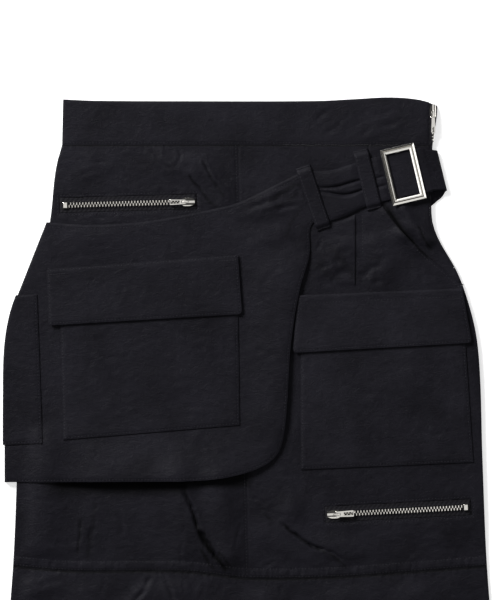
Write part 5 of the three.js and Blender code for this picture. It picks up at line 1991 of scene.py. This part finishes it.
    def tier(self) -> Cut:
        """Cuts the front of the tier."""
        left_y, right_y = (float(tier_seam(x)) - SEAM_HALF for x in (SEAM_LEFT_X, SEAM_RIGHT_X))
        outline = [
            *side_line(left_side, HEM_Y, left_y)[::-1],
            *side_line(right_side, HEM_Y, right_y),
            *seam_line(-205, 205, -SEAM_HALF)[::-1],
        ]
        hem = [(x, HEM_Y + 20) for x in (-236, 236)]
        return Cut(
            "tier_front_cloth", "tier_front", Outline.of(outline), Lay.tier, ("tier_back",),
            creases=TIER_CREASES, walls=((left_side, Lay.back), (right_side, Lay.back)), bed=back_top,
            # Painted shade along the tier just below its seam
            step=tier_puckers, painted_shade=(PaintedShade(tuple(seam_line(-213, 213, -0.8)), 1.0, 0.85, True),),
            hidden_y=((-370, -100),), seed=33.0, crinkle=0.34, stitching=(Stitching(hem),),
        )

    def make(self, finishes: Finishes) -> None:
        """Builds every piece.

        Args:
            finishes: The materials.
        """
        hip = (self.hip_left(), self.hip_right(), self.bearer())
        for cut in (*self.waist(), *hip, *self.backs(), self.tier()):
            cut.make(finishes.cloth, finishes.thread)


def tier_rows(low: float, high: float) -> tuple[Stitching, ...]:
    """Gives the two rows of topstitching above the tier seam."""
    return tuple(Stitching(seam_line(low, high, offset)) for offset in (1.6, 8.6))


def rim_rows(corners: Sequence[Point], *offsets: float) -> tuple[Stitching, ...]:
    """Gives rows of topstitching down one side, along the bottom and up the other side of a pocket or flap.

    Args:
        corners: Its corners, clockwise from the top left.
        offsets: How far inside the edge each row lies.

    Returns:
        The rows.
    """
    top_left, top_right, low_right, low_left = corners
    return tuple(Stitching(beside((top_left, low_left, low_right, top_right), offset)) for offset in offsets)


class Overlay:
    """The wrapped overlay with its patch pocket, flap and side pocket."""

    def panel(self) -> Cut:
        """Cuts the overlay's front."""
        rim = [(overlay_left(OVERLAY_BOTTOM_Y) + 2, OVERLAY_BOTTOM_Y)]
        rim += [*through(OVERLAY_ROUND)[::-1], *through(OVERLAY_FREE)[-2::-1]]
        return Cut(
            "overlay_cloth", "overlay", OVERLAY_CUT, Lay.overlay, ("hip_front_left", "hip_front_right"),
            creases=OVERLAY_CREASES, covers=(FRONT_POCKET_CUT, FRONT_FLAP_CUT),
            bed=lambda x, y: Lay.hip(x, y) + CLOTH,
            walls=((overlay_left, lambda x, y: 0 * x),), seed=41.0, painted_shade=OVERLAY_PAINTED_SHADE,
            stitching=(Stitching(beside(rim, 1.7)), Stitching(beside(through(OVERLAY_TOP)[::-1], 4.0))),
        )

    def pocket(self) -> Cut:
        """Cuts the patch pocket."""
        return Cut(
            "overlay_pocket_cloth", "overlay_pocket", FRONT_POCKET_CUT, onto(Lay.overlay, 1), ("overlay",),
            creases=POCKET_CREASES, covers=(FRONT_FLAP_CUT,),
            seed=42.0, stitching=rim_rows(FRONT_POCKET, 1.6),
        )

    def flap(self) -> Cut:
        """Cuts the pocket's flap."""
        under = flap_on(onto(Lay.overlay, 2), FRONT_FLAP[0][1], FRONT_FLAP[3][1])
        (x1, y1), (x2, y2) = FRONT_FLAP[:2]
        tacks = (
            Stitching([(x1 + 2, y1 - 5), (x1 + 16, y1 - 4)], 1.4, 1.5, 0.8, 0.6),
            Stitching([(x2 - 16, y2 - 6), (x2 - 2, y2 - 5)], 1.4, 1.5, 0.8, 0.6),
        )
        return Cut(
            "overlay_flap_cloth", "overlay_flap", FRONT_FLAP_CUT, under, ("overlay_pocket",),
            creases=FLAP_CREASES, seed=43.0, crinkle=0.22,
            stitching=(*rim_rows(FRONT_FLAP, 1.8), *tacks, Stitching(beside(((x2, y2), (x1, y1)), 1.6))),
        )

    def side_pocket(self) -> Cut:
        """Cuts the pocket at the overlay's side, which runs round to the back."""
        top_y, low_y = SIDE_POCKET_LEFT_Y
        shifted = Profile([(y, x - PLY) for x, y in OVERLAY_LEFT])
        outline = Outline.of([*side_line(shifted, low_y, top_y), SIDE_POCKET_RIGHT[0], SIDE_POCKET_RIGHT[1]])
        edge = [SIDE_POCKET_RIGHT[1], SIDE_POCKET_RIGHT[0]]
        low = [(-219, low_y), SIDE_POCKET_RIGHT[1]]
        return Cut(
            "overlay_side_pocket_cloth", "overlay_side_pocket", outline, onto(Lay.overlay, 1), ("overlay",),
            walls=((shifted, lambda x, y: 0 * x),), seed=44.0,
            stitching=(Stitching(beside(edge, 1.6)), Stitching(beside(low, 1.6))),
        )

    def back(self) -> Cut:
        """Cuts the overlay's back, which wraps round the left side and lies under the skirt."""
        inner = OVERLAY_BACK_X
        outline = Outline.of([
            *side_line(overlay_left, OVERLAY_BOTTOM_Y, OVERLAY_TOP_Y, SIDE_INSET),
            (inner, OVERLAY_BACK_TOP_Y), (inner, OVERLAY_BOTTOM_Y),
        ])
        return Cut(
            "overlay_back_cloth", "overlay", outline, lambda x, y: 0 * x, ("floor",),
            pitch=Pitch.HIDDEN, crinkle=0.0, rings=(), roll=0.0, seed=45.0,
        )

    def make(self, finishes: Finishes) -> None:
        """Builds every piece.

        Args:
            finishes: The materials.
        """
        for cut in (self.panel(), self.back(), self.pocket(), self.flap(), self.side_pocket()):
            cut.make(finishes.cloth, finishes.thread)


class Cargo:
    """The cargo pocket on the right, with its flap."""

    def make(self, finishes: Finishes) -> None:
        """Builds both pieces.

        Args:
            finishes: The materials.
        """
        # Both cargo pieces take the lighter copy of the cloth, which is painted light
        Cut(
            "cargo_pocket_cloth", "cargo_pocket", CARGO_CUT, onto(Lay.hip, 1), ("hip_front_right",),
            creases=CARGO_CREASES, covers=(CARGO_FLAP_CUT,), seed=51.0, stitching=rim_rows(CARGO_POCKET, 1.6),
        ).make(finishes.painted_lighter_cloth, finishes.thread)
        under = flap_on(onto(Lay.hip, 2), CARGO_FLAP[0][1], CARGO_FLAP[3][1])
        (x1, y1), (x2, y2) = CARGO_FLAP[:2]
        Cut(
            "cargo_flap_cloth", "cargo_flap", CARGO_FLAP_CUT, under, ("cargo_pocket",),
            creases=CARGO_FLAP_CREASES, seed=52.0, crinkle=0.22,
            stitching=(*rim_rows(CARGO_FLAP, 1.8), Stitching(beside(((x2, y2), (x1, y1)), 7.4))),
        ).make(finishes.painted_lighter_cloth, finishes.thread)


class SideTape:
    """The tape of the side zip, from the waistband's right end down the hip."""

    def make(self, finishes: Finishes) -> None:
        """Builds the tape.

        Args:
            finishes: The materials.
        """
        top_y = float(waist_top(SIDE_ZIP_FRONT_X)) - 2
        outline = Outline.of([
            (SIDE_ZIP_FRONT_X + GAP, BAND_BOTTOM_Y), *side_line(right_side, BAND_BOTTOM_Y, 365),
            (SIDE_ZIP_FRONT_X + GAP, top_y),
        ])
        cut = Cut(
            "side_zip_tape_cloth", "side_zip_tape", outline,
            lambda x, y: Lay.band(x, y) - 0.3, ("waistband_back",),
            walls=((right_side, Lay.back),), crinkle=0.0, roll=0.2, seed=61.0, wall_reach=3.0,
        )
        side = Cut(
            "side_zip_tape_strip", "side_zip_tape",
            Outline.of([
                *side_line(right_side, SIDE_ZIP_END_Y, HIP_TOP_Y),
                *side_line(right_side, SIDE_ZIP_END_Y, HIP_TOP_Y, -SIDE_INSET)[::-1],
            ]),
            Lay.bearer, ("hip_back",), walls=((right_side, Lay.back),), crinkle=0.0, roll=0.2, seed=62.0,
            wall_reach=3.0, rings=(), cut_size=(11.0, 118.0, 495.0),
        )
        for piece in (cut, side):
            made = piece.make(finishes.tape, finishes.thread)


@dataclass(frozen=True)
class Studio:
    """The board under the skirt, the lamps, and the camera straight above it."""

    photo_height: float = 0.54
    centre: tuple[float, float] = (0.0, 0.19275)
    camera_height: float = 3.0
    sensor: float = 36.0
    ambient: float = 0.06
    board_half: float = 3.0
    board_drop: float = 0.0003

    def make(self) -> None:
        """Builds the board, the lamps and the camera."""
        bm = bmesh.new()
        bmesh.ops.create_grid(bm, x_segments=1, y_segments=1, size=self.board_half)
        board = new_object("white_board", bm, StudioSweep().make())
        board.data.transform(Matrix.Translation((0, 0, -self.board_drop)))
        self.lamp("key_light", (-1.85, 2.1, 1.7), 1.1, 128)
        self.lamp("overhead_panel", (0.0, 0.2, 3.4), 2.0, 9)
        # Cards that only the metal picks up: higher on the right, low in front, on the left and behind
        self.lamp("card_right", (2.95, 0.97, 1.61), 1.4, 10)
        self.lamp("card_front", (0.6, -2.8, 1.1), 1.6, 7)
        self.lamp("card_left", (-3.1, -0.5, 0.65), 1.0, 6)
        self.lamp("card_behind", (-0.8, 3.4, 0.7), 1.0, 5)
        world = bpy.data.worlds.new("studio")
        world.use_nodes = True
        world.node_tree.nodes["Background"].inputs["Color"].default_value = (1, 1, 1, 1)
        world.node_tree.nodes["Background"].inputs["Strength"].default_value = self.ambient
        bpy.context.scene.world = world
        lens = bpy.data.cameras.new("overhead")
        lens.sensor_width = self.sensor
        lens.lens = self.sensor * self.camera_height / self.photo_height
        lens.clip_end = 20
        camera = bpy.data.objects.new("overhead", lens)
        camera.location = (*self.centre, self.camera_height)
        bpy.context.scene.collection.objects.link(camera)
        bpy.context.scene.camera = camera
        bpy.context.scene.view_settings.view_transform = "Standard"

    def lamp(self, name: str, place: tuple[float, float, float], size: float, power: float) -> None:
        """Hangs a soft square lamp that faces the middle of the skirt.

        Args:
            name: The lamp's name.
            place: Where it hangs.
            size: The length of its sides.
            power: Its power in watts.
        """
        light = bpy.data.lights.new(name, "AREA")
        light.size = size
        light.energy = power
        lamp = bpy.data.objects.new(name, light)
        lamp.location = place
        aim = Vector((*self.centre, 0)) - Vector(place)
        lamp.rotation_euler = aim.to_track_quat("-Z", "Y").to_euler()
        bpy.context.scene.collection.objects.link(lamp)


def main() -> None:
    """Builds the studio and every piece of the skirt, in order."""
    logging.basicConfig(level=logging.INFO, format="%(message)s")
    Studio().make()
    finishes = Finishes.make()
    SkirtBody().make(finishes)
    Overlay().make(finishes)
    Cargo().make(finishes)
    Belt().make(finishes)
    Buckle().make(finishes)
    for zip_part in (UPPER_ZIP, LOWER_ZIP, SIDE_ZIP):
        zip_part.make(finishes)
    SideTape().make(finishes)


if __name__ == "__main__":
    main()
